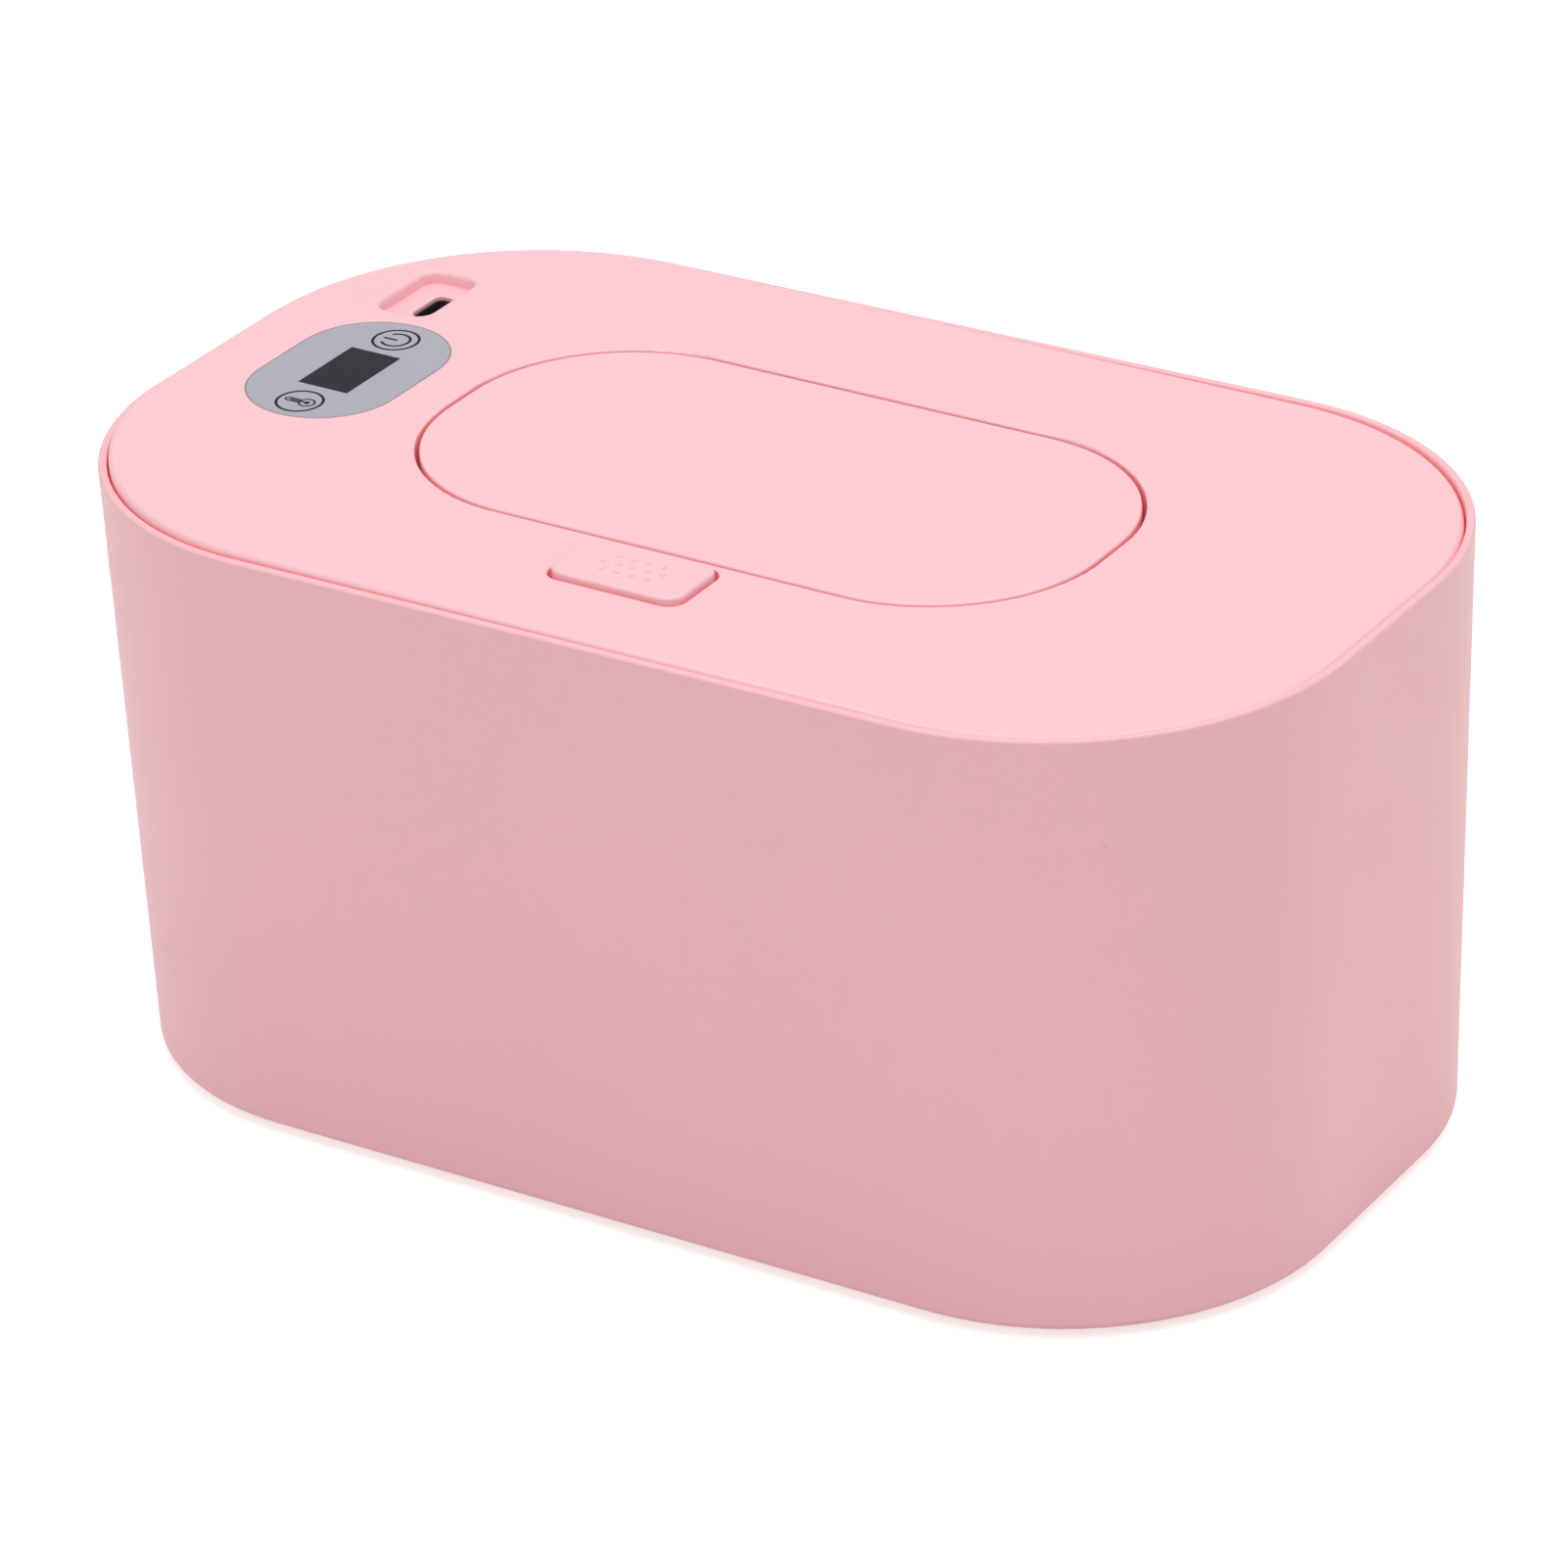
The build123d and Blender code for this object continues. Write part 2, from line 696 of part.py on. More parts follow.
def make_lid_springs():
    """Torsion springs that push the lid's arms open; one leg waits behind each arm's spoke."""
    springs = []
    length = 2 * lid_spring_wire * (lid_spring_turns + 1)
    for arm_x in arm_xs:
        side = math.copysign(1, arm_x - opening_x)
        wound = coil(lid_spring_radius, lid_spring_wire, lid_spring_turns, 0, length)
        arm_face = arm_x - side * (arm_width / 2 + arm_side_gap / 2)
        spring = Pos(arm_face - side * length) * Rot(0, side * 90, 0) * wound
        leg_x = arm_face - side * lid_spring_wire
        leg = post(leg_x, lid_spring_radius, -lid_spring_leg, 0, lid_spring_wire)
        reach_x = leg_x + side * spring_room
        foot = rod(min(leg_x, reach_x), max(leg_x, reach_x), lid_spring_radius, -lid_spring_leg,
                   lid_spring_wire)
        lean = Rot(-90 - arm_spoke_angle, 0, 0)
        springs.append(Pos(0, hinge_y, -hinge_depth) * (spring + lean * (leg + foot)))
    return on_cover(joined(springs))


# ---------------------------------------------------------------- flip lid
def make_arm(arm_x):
    """Goose-neck arm: a hub on the pin, a spoke down and a hook that rises to the lid."""
    width = (arm_x - arm_width / 2, arm_x + arm_width / 2)
    axis_z = -hinge_depth
    hook = rod(*width, hinge_y, axis_z, arm_outer_radius) - rod(*width, hinge_y, axis_z, swing_radius)
    lid_underside = -lid_plate + hinge_depth
    keep = make_face(Polyline(
        (0, 0),
        spoke_point(2 * arm_outer_radius, 0),
        (-2 * arm_outer_radius, -2 * arm_outer_radius),
        (-2 * arm_outer_radius, lid_underside),
        (-swing_radius / 2, lid_underside),
        close=True,
    ))
    sector = Pos(width[0], hinge_y, axis_z) * extrude(Plane.YZ * keep, arm_width)
    spoke = make_face(Polyline(
        spoke_point(0, -arm_thickness / 2),
        spoke_point(swing_radius + arm_thickness / 2, -arm_thickness / 2),
        spoke_point(swing_radius + arm_thickness / 2, arm_thickness / 2),
        spoke_point(0, arm_thickness / 2),
        close=True,
    ))
    arm = hook & sector
    arm += Pos(width[0], hinge_y, axis_z) * extrude(Plane.YZ * spoke, arm_width)
    return arm + rod(*width, hinge_y, axis_z, hub_radius)


def spoke_point(along, across):
    """Point in the arm's side view, measured along and across the spoke from the pin."""
    angle = math.radians(arm_spoke_angle)
    forward = along * math.cos(angle) - across * math.sin(angle)
    up = along * math.sin(angle) + across * math.cos(angle)
    return (-forward, up)


def make_flip_lid():
    """Lid with a stepped skirt, goose-neck arms at the back and the catch tongue in front."""
    lid = prism(opening_outline(lid_gap), -lid_edge, 0)
    lid = fillet(lid.edges().group_by(Axis.Z)[-1], lid_round)
    skirt_inset = lid_gap + lid_skirt_step
    lid += prism(opening_outline(skirt_inset), -lid_skirt_depth, -lid_edge)
    lid -= prism(opening_outline(skirt_inset + lid_skirt_wall), -lid_skirt_depth - overrun, -lid_plate)
    lid -= rod(opening_left, opening_right, hinge_y, -hinge_depth, swing_radius)
    for arm_x in arm_xs:
        lid += make_arm(arm_x)
        lid -= rod(arm_x - arm_width, arm_x + arm_width, hinge_y, -hinge_depth,
                   hinge_pin_radius + hinge_bore_gap)
    front = opening_front + lid_gap + tongue_from_edge
    middle = front + tongue_thickness / 2
    lid += block(button_x, middle, -tongue_depth, -lid_plate, tongue_width, tongue_thickness)
    barb = make_face(Polyline(
        (front, -tongue_depth),
        (front, -tongue_depth + barb_height),
        (front - barb_reach, -tongue_depth + barb_height),
        close=True,
    ))
    return lid + Pos(button_x - tongue_width / 2, 0) * extrude(Plane.YZ * barb, tongue_width)


def make_lid_liner():
    """Inner plate that closes the lid from below."""
    inset = lid_gap + lid_skirt_step + lid_skirt_wall + liner_gap
    bottom = -lid_skirt_depth
    liner = prism(opening_outline(inset), bottom, bottom + liner_thickness)
    front = opening_front + lid_gap + tongue_from_edge + tongue_thickness / 2
    liner -= block(button_x, front, bottom - overrun, 0, tongue_width + 2 * liner_gap,
                   tongue_thickness + 2 * liner_gap)
    for side in (-1, 1):
        x = opening_x + side * liner_post_spacing / 2
        for y in (throat_front / 2, throat_back / 2):
            liner += post(x, y, bottom + liner_thickness, -lid_plate, liner_post_radius)
    groove_low, groove_high = bottom - overrun, bottom + lid_seal_root
    return liner - lid_seal_ring(groove_low, groove_high)


def lid_seal_ring(low, high):
    """Ring over the throat's bead, between two heights."""
    return prism(throat_outline(-bead_width), low, high) - prism(throat_outline(0), low, high)


def make_lid_seal():
    """Soft ring in the liner that meets the bead round the throat."""
    low = -recess_depth + bead_height + lid_seal_gap
    return lid_seal_ring(low, -lid_skirt_depth + lid_seal_root)


# ---------------------------------------------------------------- release button
def dot_places():
    """Centres of the grip dots: rows of four, five and four."""
    row_pitch = dot_pitch * math.sqrt(3) / 2
    places = []
    for row, count in ((-1, 4), (0, 5), (1, 4)):
        for step in range(count):
            x = (step - (count - 1) / 2) * dot_pitch
            places.append((button_x + x, button_y + row * row_pitch))
    return places


def make_push_button():
    """Hollow button with grip dots, side hooks, spring stems and the cam leg."""
    low = -button_depth
    cap = prism(button_outline(0), low, button_rise)
    cap = fillet(cap.edges().group_by(Axis.Z)[-1], button_round)
    under = button_rise - button_top
    cap -= prism(button_outline(-button_wall), low - overrun, under)
    for side in (-1, 1):
        reach = button_gap + flange_reach
        x = button_x + side * (button_length / 2 + reach / 2)
        top = -cover_plate - flange_gap
        cap += block(x, button_y, top - flange_height, top, reach, flange_width)
        cap += post(button_x + side * stem_spacing / 2, button_y, under - stem_length, under, stem_radius)
    for x, y in dot_places():
        dot = post(x, y, button_rise, button_rise + dot_height, dot_radius)
        cap += fillet(dot.edges().group_by(Axis.Z)[-1], dot_round)
    back = button_y + button_width / 2
    leg_low = -recess_bottom - cam_gap - cam_toe
    cap += block(button_x, back - cam_thickness / 2, leg_low, low + overrun, cam_width, cam_thickness)
    barb_tip = opening_front + lid_gap + tongue_from_edge - barb_reach
    toe_back = barb_tip - cam_to_barb
    cap += block(button_x, (back + toe_back) / 2, leg_low, leg_low + cam_toe, cam_width, toe_back - back)
    return cap


def make_button_springs():
    """Two compression springs between the button and the cups on the housing."""
    seat = -housing_depth + spring_cup_height
    wound = coil(button_spring_radius, button_spring_wire, button_spring_turns, seat,
                 button_rise - button_top)
    return joined([Pos(button_x + side * stem_spacing / 2, button_y) * wound for side in (-1, 1)])


# ---------------------------------------------------------------- control panel and electronics
def make_control_overlay():
    """Printed film of the control panel, cut out round the display."""
    film = prism(panel_outline(0), -panel_thickness, 0)
    return film - prism(display_outline(0), -panel_thickness - overrun, overrun)


def make_display_window():
    """Smoked lens, flush with the panel, that stands on the display module."""
    return prism(display_outline(panel_gap), -cover_plate, 0)


def make_display_module():
    """Two-digit display block between the board and the lens."""
    return prism(display_outline(-display_body_margin), -board_depth, -cover_plate)


def make_control_board():
    """Control board hung from the cover on four bosses."""
    board = prism(board_outline(), -board_bottom, -board_depth)
    for x, y in board_screw_places:
        board -= post(x, y, -board_bottom - overrun, 0, screw_radius)
    return board


def make_screws(places, seat, length):
    """Group of like screws, all driven upwards into their bosses."""
    return joined([pan_head_screw(x, y, seat, length) for x, y in places])


def make_touch_springs():
    """Contact springs from the board to the underside of the touch icons."""
    wound = coil(touch_spring_radius, touch_spring_wire, touch_spring_turns, -board_depth, -cover_plate)
    return joined([Pos(panel_x, panel_offset + y) * wound for y in (touch_front_y, touch_back_y)])


def box_part(x, y, size):
    """Board component as a block with a bevelled top."""
    part = block(x, y, -board_depth, -board_depth + size[2], size[0], size[1])
    return chamfer(part.edges().group_by(Axis.Z)[-1], component_bevel)


def make_can(y, radius, height):
    """Round component with a bevelled top."""
    can = post(component_x - component_gap, y, -board_depth, -board_depth + height, radius)
    return chamfer(can.edges().group_by(Axis.Z)[-1], can_bevel)


def header_places():
    """Heater and sensor headers near the board's front edge."""
    y = board_low_y + header_size[1] / 2 + header_gap
    spacing = header_size[0] + header_gap
    return [(panel_x - spacing / 2, y), (panel_x + spacing / 2, y)]


def make_headers():
    """Two headers, open to the front for their plugs."""
    headers = []
    for x, y in header_places():
        body = block(x, y, -board_depth, -board_depth + header_size[2], header_size[0], header_size[1])
        plug_y = y - header_size[1] / 2 + plug_size[1] / 2 - plug_proud
        middle = -board_depth + header_size[2] / 2
        body -= block(x, plug_y, middle - plug_size[2] / 2, middle + plug_size[2] / 2,
                      plug_size[0], plug_size[1])
        headers.append(body)
    return joined(headers)


def make_header_plugs():
    """Plug in each header, flush-sided with the socket it fills."""
    plugs = []
    for x, y in header_places():
        plug_y = y - header_size[1] / 2 + plug_size[1] / 2 - plug_proud
        middle = -board_depth + header_size[2] / 2
        plugs.append(block(x, plug_y, middle - plug_size[2] / 2, middle + plug_size[2] / 2,
                           plug_size[0], plug_size[1]))
    return joined(plugs)


def make_power_socket():
    """Upright shell of the low-voltage socket, its mouth in the pocket's slot."""
    low, high = -board_depth, -socket_mouth
    return prism(socket_outline(socket_wall), low, high) - prism(
        socket_outline(0), low + socket_base, high + overrun)


def make_socket_tongue():
    """Contact tongue that stands inside the socket's shell."""
    return block(socket_x, socket_y, -board_depth + socket_base, -socket_mouth - tongue_recess,
                 socket_tongue, socket_width - 2 * tongue_recess)


# ---------------------------------------------------------------- heater housing and heater
def make_heater_housing():
    """Floor, rim and throat collar that close the cover and hold the heater stack."""
    housing = prism(cover_outline(housing_inset), -housing_total, -housing_depth)
    hollow = prism(cover_outline(housing_inset + housing_wall), -housing_total - overrun,
                   -housing_underside)
    hollow -= prism(throat_outline(-outlet_flange), -housing_total - overrun, -housing_underside)
    housing -= hollow
    housing += prism(throat_outline(-outlet_flange), -housing_depth - tiny, -outlet_bottom)
    housing -= prism(throat_outline(-collar_gap), -housing_total - overrun, 0)
    for x, y in housing_screw_places:
        housing -= post(x, y, -housing_underside - overrun, 0, screw_radius)
    for x, y in plate_screw_places:
        housing += post(x, y, -plate_top, -housing_depth, boss_radius)
        housing -= post(x, y, -plate_top - overrun, -housing_underside + plate_screw_pilot, screw_radius)
    for side in (-1, 1):
        x = button_x + side * stem_spacing / 2
        cup_top = -housing_depth + spring_cup_height
        housing += post(x, button_y, -housing_depth - tiny, cup_top, spring_cup_radius)
        housing += post(x, button_y, cup_top, cup_top + spigot_length, stem_radius)
    return housing - post(port_x, port_y, -housing_underside - overrun, 0, wire_port_radius)


def stack_layer(high, thickness, inset, hole_radius):
    """One flat layer of the heater stack, open at the throat and round the screws."""
    low = high - thickness
    layer = prism(cover_outline(housing_inset + housing_wall + inset), low, high)
    layer -= prism(throat_outline(-outlet_flange - inset), low - overrun, high + overrun)
    for x, y in plate_screw_places:
        layer -= post(x, y, low - overrun, high + overrun, hole_radius)
    return layer


def make_insulation_pad():
    """Foam ring over the film, with clearance for screw heads, the leads and the fuse."""
    pad = stack_layer(-housing_underside, pad_thickness, plate_gap, boss_radius + head_clearance)
    low, high = -film_top - overrun, -housing_underside + overrun
    for x, y in housing_screw_places:
        pad -= post(x, y, low, high, screw_head_radius + head_clearance)
    window_left = sensor_x - sensor_size[0]
    window_right = fuse_low_x + fuse_length + fuse_gap
    return pad - block((window_left + window_right) / 2, port_y, low, high,
                       window_right - window_left, window_width)


def make_heating_film():
    """Etched heating film bonded to the plate."""
    return stack_layer(-film_top, film_thickness, film_inset, boss_radius + head_clearance)


def make_heating_plate():
    """Aluminium plate that faces the wipes."""
    return stack_layer(-plate_top, plate_thickness, plate_gap, screw_radius)


def make_thermal_fuse():
    """Thermal fuse lying on the film beside the leads."""
    return rod(fuse_low_x, fuse_low_x + fuse_length, port_y, -film_top + fuse_radius, fuse_radius)


def make_temperature_sensor():
    """Temperature sensor potted in a small block on the film."""
    sensor = block(sensor_x, port_y, -film_top, -film_top + sensor_size[2], sensor_size[0], sensor_size[1])
    return chamfer(sensor.edges().group_by(Axis.Z)[-1], component_bevel)


def make_lead(header_x, slot, end_z):
    """Wire from a plug's front to its slot in the port, then straight down."""
    y = header_places()[0][1] - header_size[1] / 2 - plug_proud
    z = -board_depth + header_size[2] / 2
    x = port_x + slot * lead_pitch
    route = FilletPolyline(
        (header_x, y, z),
        (header_x, y - lead_run, z),
        (x, port_y, -board_bottom),
        (x, port_y, end_z),
        radius=lead_bend,
    )
    return sweep(Plane(route @ 0, z_dir=route % 0) * Circle(lead_radius), path=route)


def make_heater_leads():
    """Two leads from the heater plug to the film."""
    x = header_places()[1][0]
    slots = ((x - lead_pitch / 2, 0.5), (x + lead_pitch / 2, 1.5))
    return joined([make_lead(start, slot, -film_top) for start, slot in slots])


def make_sensor_leads():
    """Two leads from the sensor plug to the top of the sensor."""
    x = header_places()[0][0]
    slots = ((x - lead_pitch / 2, -1.5), (x + lead_pitch / 2, -0.5))
    return joined([make_lead(start, slot, -film_top + sensor_size[2]) for start, slot in slots])


def make_wipe_outlet():
    """Silicone sheet clamped under the throat, with the slot that holds back the next wipe."""
    sheet = prism(throat_outline(-outlet_flange), -outlet_bottom, -recess_bottom)
    slot = SlotOverall(outlet_slot_length, outlet_slot_width)
    middle = Pos((throat_left + throat_right) / 2, throat_y)
    return sheet - middle * prism(slot, -outlet_bottom - overrun, 0)


# ---------------------------------------------------------------- nodes
def make_nodes():
    """Every node by name, each in its place."""
    housing_seat = -housing_underside
    cover_pieces = {
        "heater_housing": make_heater_housing(),
        "housing_screws": make_screws(housing_screw_places, housing_seat, housing_floor + screw_bite),
        "wipe_outlet": make_wipe_outlet(),
        "insulation_pad": make_insulation_pad(),
        "heating_film": make_heating_film(),
        "heating_plate": make_heating_plate(),
        "plate_screws": make_screws(plate_screw_places, -plate_bottom, plate_thickness + pad_thickness),
        "thermal_fuse": make_thermal_fuse(),
        "temperature_sensor": make_temperature_sensor(),
        "heater_leads": make_heater_leads(),
        "sensor_leads": make_sensor_leads(),
        "control_overlay": make_control_overlay(),
        "display_window": make_display_window(),
        "display_module": make_display_module(),
        "control_board": make_control_board(),
        "board_screws": make_screws(board_screw_places, -board_bottom,
                                    board_thickness + board_screw_bite),
        "touch_springs": make_touch_springs(),
        "controller_chip": box_part(component_x, chip_y, chip_size),
        "power_transistor": box_part(component_x, transistor_y, transistor_size),
        "capacitor": make_can(capacitor_y, capacitor_radius, capacitor_height),
        "buzzer": make_can(buzzer_y, buzzer_radius, buzzer_height),
        "board_headers": make_headers(),
        "header_plugs": make_header_plugs(),
        "power_socket": make_power_socket(),
        "socket_tongue": make_socket_tongue(),
        "button_springs": make_button_springs(),
        "flip_lid": make_flip_lid(),
        "lid_liner": make_lid_liner(),
        "lid_seal": make_lid_seal(),
        "push_button": make_push_button(),
    }
    nodes = {name: on_cover(piece) for name, piece in cover_pieces.items()}
    nodes["cover_shell"] = make_cover_shell()
    nodes["cover_seal"] = make_cover_seal()
    nodes["hinge_pins"] = make_hinge_pins()
    nodes["lid_springs"] = make_lid_springs()
    nodes["tub"] = make_tub()
    nodes["rubber_feet"] = make_feet()
    return nodes


os.makedirs("parts", exist_ok=True)
for name, shape in make_nodes().items():
    export_step(shape, f"parts/{name}.step")
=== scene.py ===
"""Wipe warmer: the looks of a moulded tub with a heated cover, a flip lid and a push button."""

import json
import math

import bmesh
import bpy
from bpy.props import FloatProperty, FloatVectorProperty, PointerProperty
from mathutils import Matrix, Vector


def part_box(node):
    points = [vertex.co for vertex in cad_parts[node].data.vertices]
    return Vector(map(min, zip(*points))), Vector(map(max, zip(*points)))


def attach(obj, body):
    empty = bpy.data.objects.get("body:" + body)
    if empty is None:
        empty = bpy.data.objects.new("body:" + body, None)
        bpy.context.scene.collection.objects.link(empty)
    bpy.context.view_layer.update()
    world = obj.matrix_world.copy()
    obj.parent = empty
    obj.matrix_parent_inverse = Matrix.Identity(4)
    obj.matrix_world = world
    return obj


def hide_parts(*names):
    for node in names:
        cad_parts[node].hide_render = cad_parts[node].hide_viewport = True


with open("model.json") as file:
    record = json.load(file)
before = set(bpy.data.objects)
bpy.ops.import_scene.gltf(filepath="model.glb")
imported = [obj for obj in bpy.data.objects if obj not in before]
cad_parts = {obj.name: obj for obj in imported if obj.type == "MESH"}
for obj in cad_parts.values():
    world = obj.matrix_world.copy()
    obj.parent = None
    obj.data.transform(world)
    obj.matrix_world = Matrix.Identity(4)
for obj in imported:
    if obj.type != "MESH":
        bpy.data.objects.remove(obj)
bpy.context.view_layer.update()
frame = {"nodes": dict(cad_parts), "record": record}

bl_info = {
    "name": "Wipe warmer",
    "version": (1, 0, 0),
    "blender": (4, 5, 0),
    "location": "View3D > Sidebar > Wipe Warmer",
    "description": "Moulded wipe warmer with a heated cover, a flip lid and a push button",
    "category": "Object",
}

MM = 0.001
FINISHES = {}

# Mesh work
JOINING_LIFT = 0.5              # metres that a loop is lifted while it is joined
MERGE_DISTANCE = 1e-7           # metres
SMOOTH_ANGLE = 40.0             # degrees, steeper edges stay sharp
SMOOTH_LID_SEAL = 55.0          # degrees, for its hollow
SMOOTH_COVER_SEAL = 50.0        # degrees, for its hollow

# Shares of the sizes in the property groups
SQUARE_END = 0.4                # corner of a printed bar, of its width
THREAD_INK = 0.9                # ink of the thermometer's thread, where it lies on the bulb
STEM_INK = 0.8                  # ink of the thermometer's stem, under the thread
STEM_END = 0.98                 # round end of the stem, of half its width
STEM_HOLE = 0.42                # hole in the stem, of half its width
STEM_REACH = 0.8                # how near the stem comes to the bulb, of the bulb's radius
SLOT_END = 0.999                # round end of the wipe slot, of half its width
LIP_CREST = 0.6                 # top of the slot's lip, of the lip's width
LIP_ROUND = 0.28                # rounding of the slot's lip, of the lip's width
FIRST_RIDGE = 0.78              # outermost grip ring under a foot, of the foot's radius
RIDGE_STEP = 0.24               # from one grip ring in to the next, of the foot's radius
GRIP_RINGS = 3

# Small roundings and grooves, in metres
OUTLET_ROUND = 0.3 * MM
LID_SEAL_ROUND = 0.22 * MM
COVER_SEAL_ROUND = 0.14 * MM
COVER_SEAL_HOLLOW = 0.1 * MM
GROOVE_START = 0.3 * MM         # from a ridge in to the groove's floor
GROOVE_END = 0.7 * MM
GROOVE_PITCH = 1.0 * MM

# Stage
LAMPS = (                       # name, place, aim, width and height, power
    ("lamp_over", (0.1, 0.1, 1.5), (0.0, 0.0, 0.1), (1.6, 1.6), 16.0),
    ("lamp_front", (-0.6, -1.6, 0.8), (0.0, 0.0, 0.05), (1.0, 1.0), 5.7),
    ("lamp_side", (1.7, -0.2, 0.8), (0.0, 0.0, 0.05), (0.9, 1.0), 3.7),
)
WORLD_LIGHT = 0.55
FLOOR_GREY = 0.68
FLOOR_GLOW = 0.6                # seen by the camera and in reflections only
SENSOR_WIDTH = 36.0
CLIP_RANGE = 0.05, 50.0


# ---------------------------------------------------------------- sizes and colours
def length(title, text, millimetres):
    """A size that a user can change, stored in metres."""
    return FloatProperty(name=title, description=text, default=millimetres * MM, unit="LENGTH")


def angle(title, text, degrees):
    """An angle that a user can change, stored in radians."""
    return FloatProperty(
        name=title, description=text, default=math.radians(degrees), subtype="ANGLE"
    )


def colour(title, text, red, green, blue):
    """A linear colour that a user can change."""
    return FloatVectorProperty(
        name=title, description=text, default=(red, green, blue), size=3, min=0.0, max=1.0,
        subtype="COLOR",
    )


class WarmerColours(bpy.types.PropertyGroup):
    """Colours of the finishes."""

    cover_pink: colour("Cover pink", "Plastic of the cover, lid and button", 0.87, 0.508, 0.55)
    tub_pink: colour("Tub pink", "Plastic of the tub", 0.845, 0.465, 0.497)
    # Painted gap shade and painted glow: the pink plastics' colour is painted deeper in their gaps
    # and corners as shade, and a glow, pale in shallow gaps and red in deep ones, is painted there
    # in place of light let through the plastic.
    painted_gap_shade: colour("Deep pink", "Tint of the plastic in its gaps", 1.0, 0.45, 0.475)
    painted_glow_shallow: colour("Near glow", "Light let through in shallow gaps", 1.0, 0.55, 0.52)
    painted_glow_deep: colour("Far glow", "Light let through in deep gaps", 1.0, 0.08, 0.1)
    panel_grey: colour("Panel grey", "Printed film of the control panel", 0.355, 0.36, 0.42)
    print_ink: colour("Print ink", "Ink of the symbols on the panel", 0.008, 0.008, 0.014)
    stem_ink: colour("Stem ink", "Lighter ink of the thermometer's stem", 0.06, 0.06, 0.07)
    edge_line: colour("Edge line", "Line round the panel", 0.3, 0.22, 0.25)
    screen: colour("Screen", "Smoked window over the display", 0.011, 0.009, 0.019)


class CoverSizes(bpy.types.PropertyGroup):
    """Where the cover's top face lies, and the outlines of the tub's rim and the throat."""

    top: length("Top", "Height of the cover's top face at mid length", 100.23)
    slope: angle("Slope", "Fall of the top face, away from the panel", 0.516)
    rim_length: length("Rim length", "Tub's rim along the warmer", 210.0)
    rim_width: length("Rim width", "Tub's rim across the warmer", 124.3)
    rim_corner: length("Rim corner", "Corner radius of the tub's rim", 47.8)
    throat_left: length("Throat left", "Left edge of the wipe throat", -46.95)
    throat_right: length("Throat right", "Right edge of the wipe throat", 45.95)
    throat_front: length("Throat front", "Front edge of the wipe throat", -20.5)
    throat_back: length("Throat back", "Back edge of the wipe throat", 24.0)
    throat_corner: length("Throat corner", "Corner radius of the wipe throat", 19.25)


class PanelSizes(bpy.types.PropertyGroup):
    """Printed symbols and edge line of the control panel."""

    centre_x: length("Centre X", "Middle of the panel along the warmer", -79.5)
    centre_y: length("Centre Y", "Middle of the panel across the warmer", 1.4)
    width: length("Width", "Panel's size along the warmer", 25.0)
    height: length("Height", "Panel's size across the warmer", 37.3)
    corner: length("Corner", "Corner radius of the panel", 12.4)
    edge_line: length("Edge line", "Width of the line round the panel", 0.13)
    ink: length("Ink", "Thickness of the printed ink", 0.02)
    stroke: length("Stroke", "Line width of the symbols", 0.45)
    ring_radius: length("Ring radius", "Middle of each symbol's ring", 3.68)
    power_x: length("Power X", "Centre of the power symbol", -79.2)
    power_y: length("Power Y", "Centre of the power symbol", 14.1)
    power_radius: length("Power radius", "Middle of the power symbol's arc", 2.27)
    power_gap: angle("Power gap", "Opening of the power symbol's arc", 84.0)
    heat_x: length("Heat X", "Centre of the thermometer symbol", -79.45)
    heat_y: length("Heat Y", "Centre of the thermometer symbol", -11.9)
    bulb_shift: length("Bulb shift", "Bulb's centre from the middle of its ring", 1.35)
    bulb_radius: length("Bulb radius", "Middle of the bulb's outline", 1.25)
    bulb_stroke: length("Bulb stroke", "Line width of the bulb", 0.32)
    bulb_dot: length("Bulb dot", "Radius of the dot in the bulb", 0.48)
    stem_left: length("Stem left", "Stem's far end from the middle of its ring", 2.75)
    stem_width: length("Stem width", "Width of the stem", 1.35)


class SealSizes(bpy.types.PropertyGroup):
    """Soft silicone and rubber pieces."""

    outlet_flange: length("Outlet flange", "Silicone sheet past the throat's edge", 4.0)
    outlet_top: length("Outlet top", "Sheet's upper face below the cover's top", 8.9)
    outlet_sheet: length("Outlet sheet", "Thickness of the silicone sheet", 1.2)
    slot_length: length("Slot length", "Slot that the next wipe stands in", 66.0)
    slot_width: length("Slot width", "Slot that the next wipe stands in", 9.0)
    lip_width: length("Lip width", "Thickened lip round the slot", 1.5)
    lip_rise: length("Lip rise", "Lip above the sheet", 0.7)
    lid_seal_low: length("Lid seal low", "Seal's lower face below the cover's top", 5.8)
    lid_seal_high: length("Lid seal high", "Seal's upper face below the cover's top", 3.8)
    lid_seal_width: length("Lid seal width", "Width of the lid's seal", 2.0)
    lid_seal_groove: length("Lid seal groove", "Depth of the hollow along the seal", 0.35)
    cover_seal_inset: length("Cover seal inset", "From the tub's rim in to the lips", 3.35)
    cover_seal_lip: length("Cover seal lip", "How far the lips stand out of the skirt", 0.75)
    cover_seal_root: length("Cover seal root", "How far the seal is let into the skirt", 1.0)
    cover_seal_top: length("Cover seal top", "Seal's upper face below the cover's top", 9.0)
    cover_seal_height: length("Cover seal height", "Whole height of the seal", 2.0)
    foot_radius: length("Foot radius", "Radius of a foot", 6.0)
    foot_height: length("Foot height", "Whole height of a foot", 2.5)
    foot_round: length("Foot round", "Rounding of a foot's edge", 0.5)
    foot_groove: length("Foot groove", "Depth of the grip rings under a foot", 0.3)


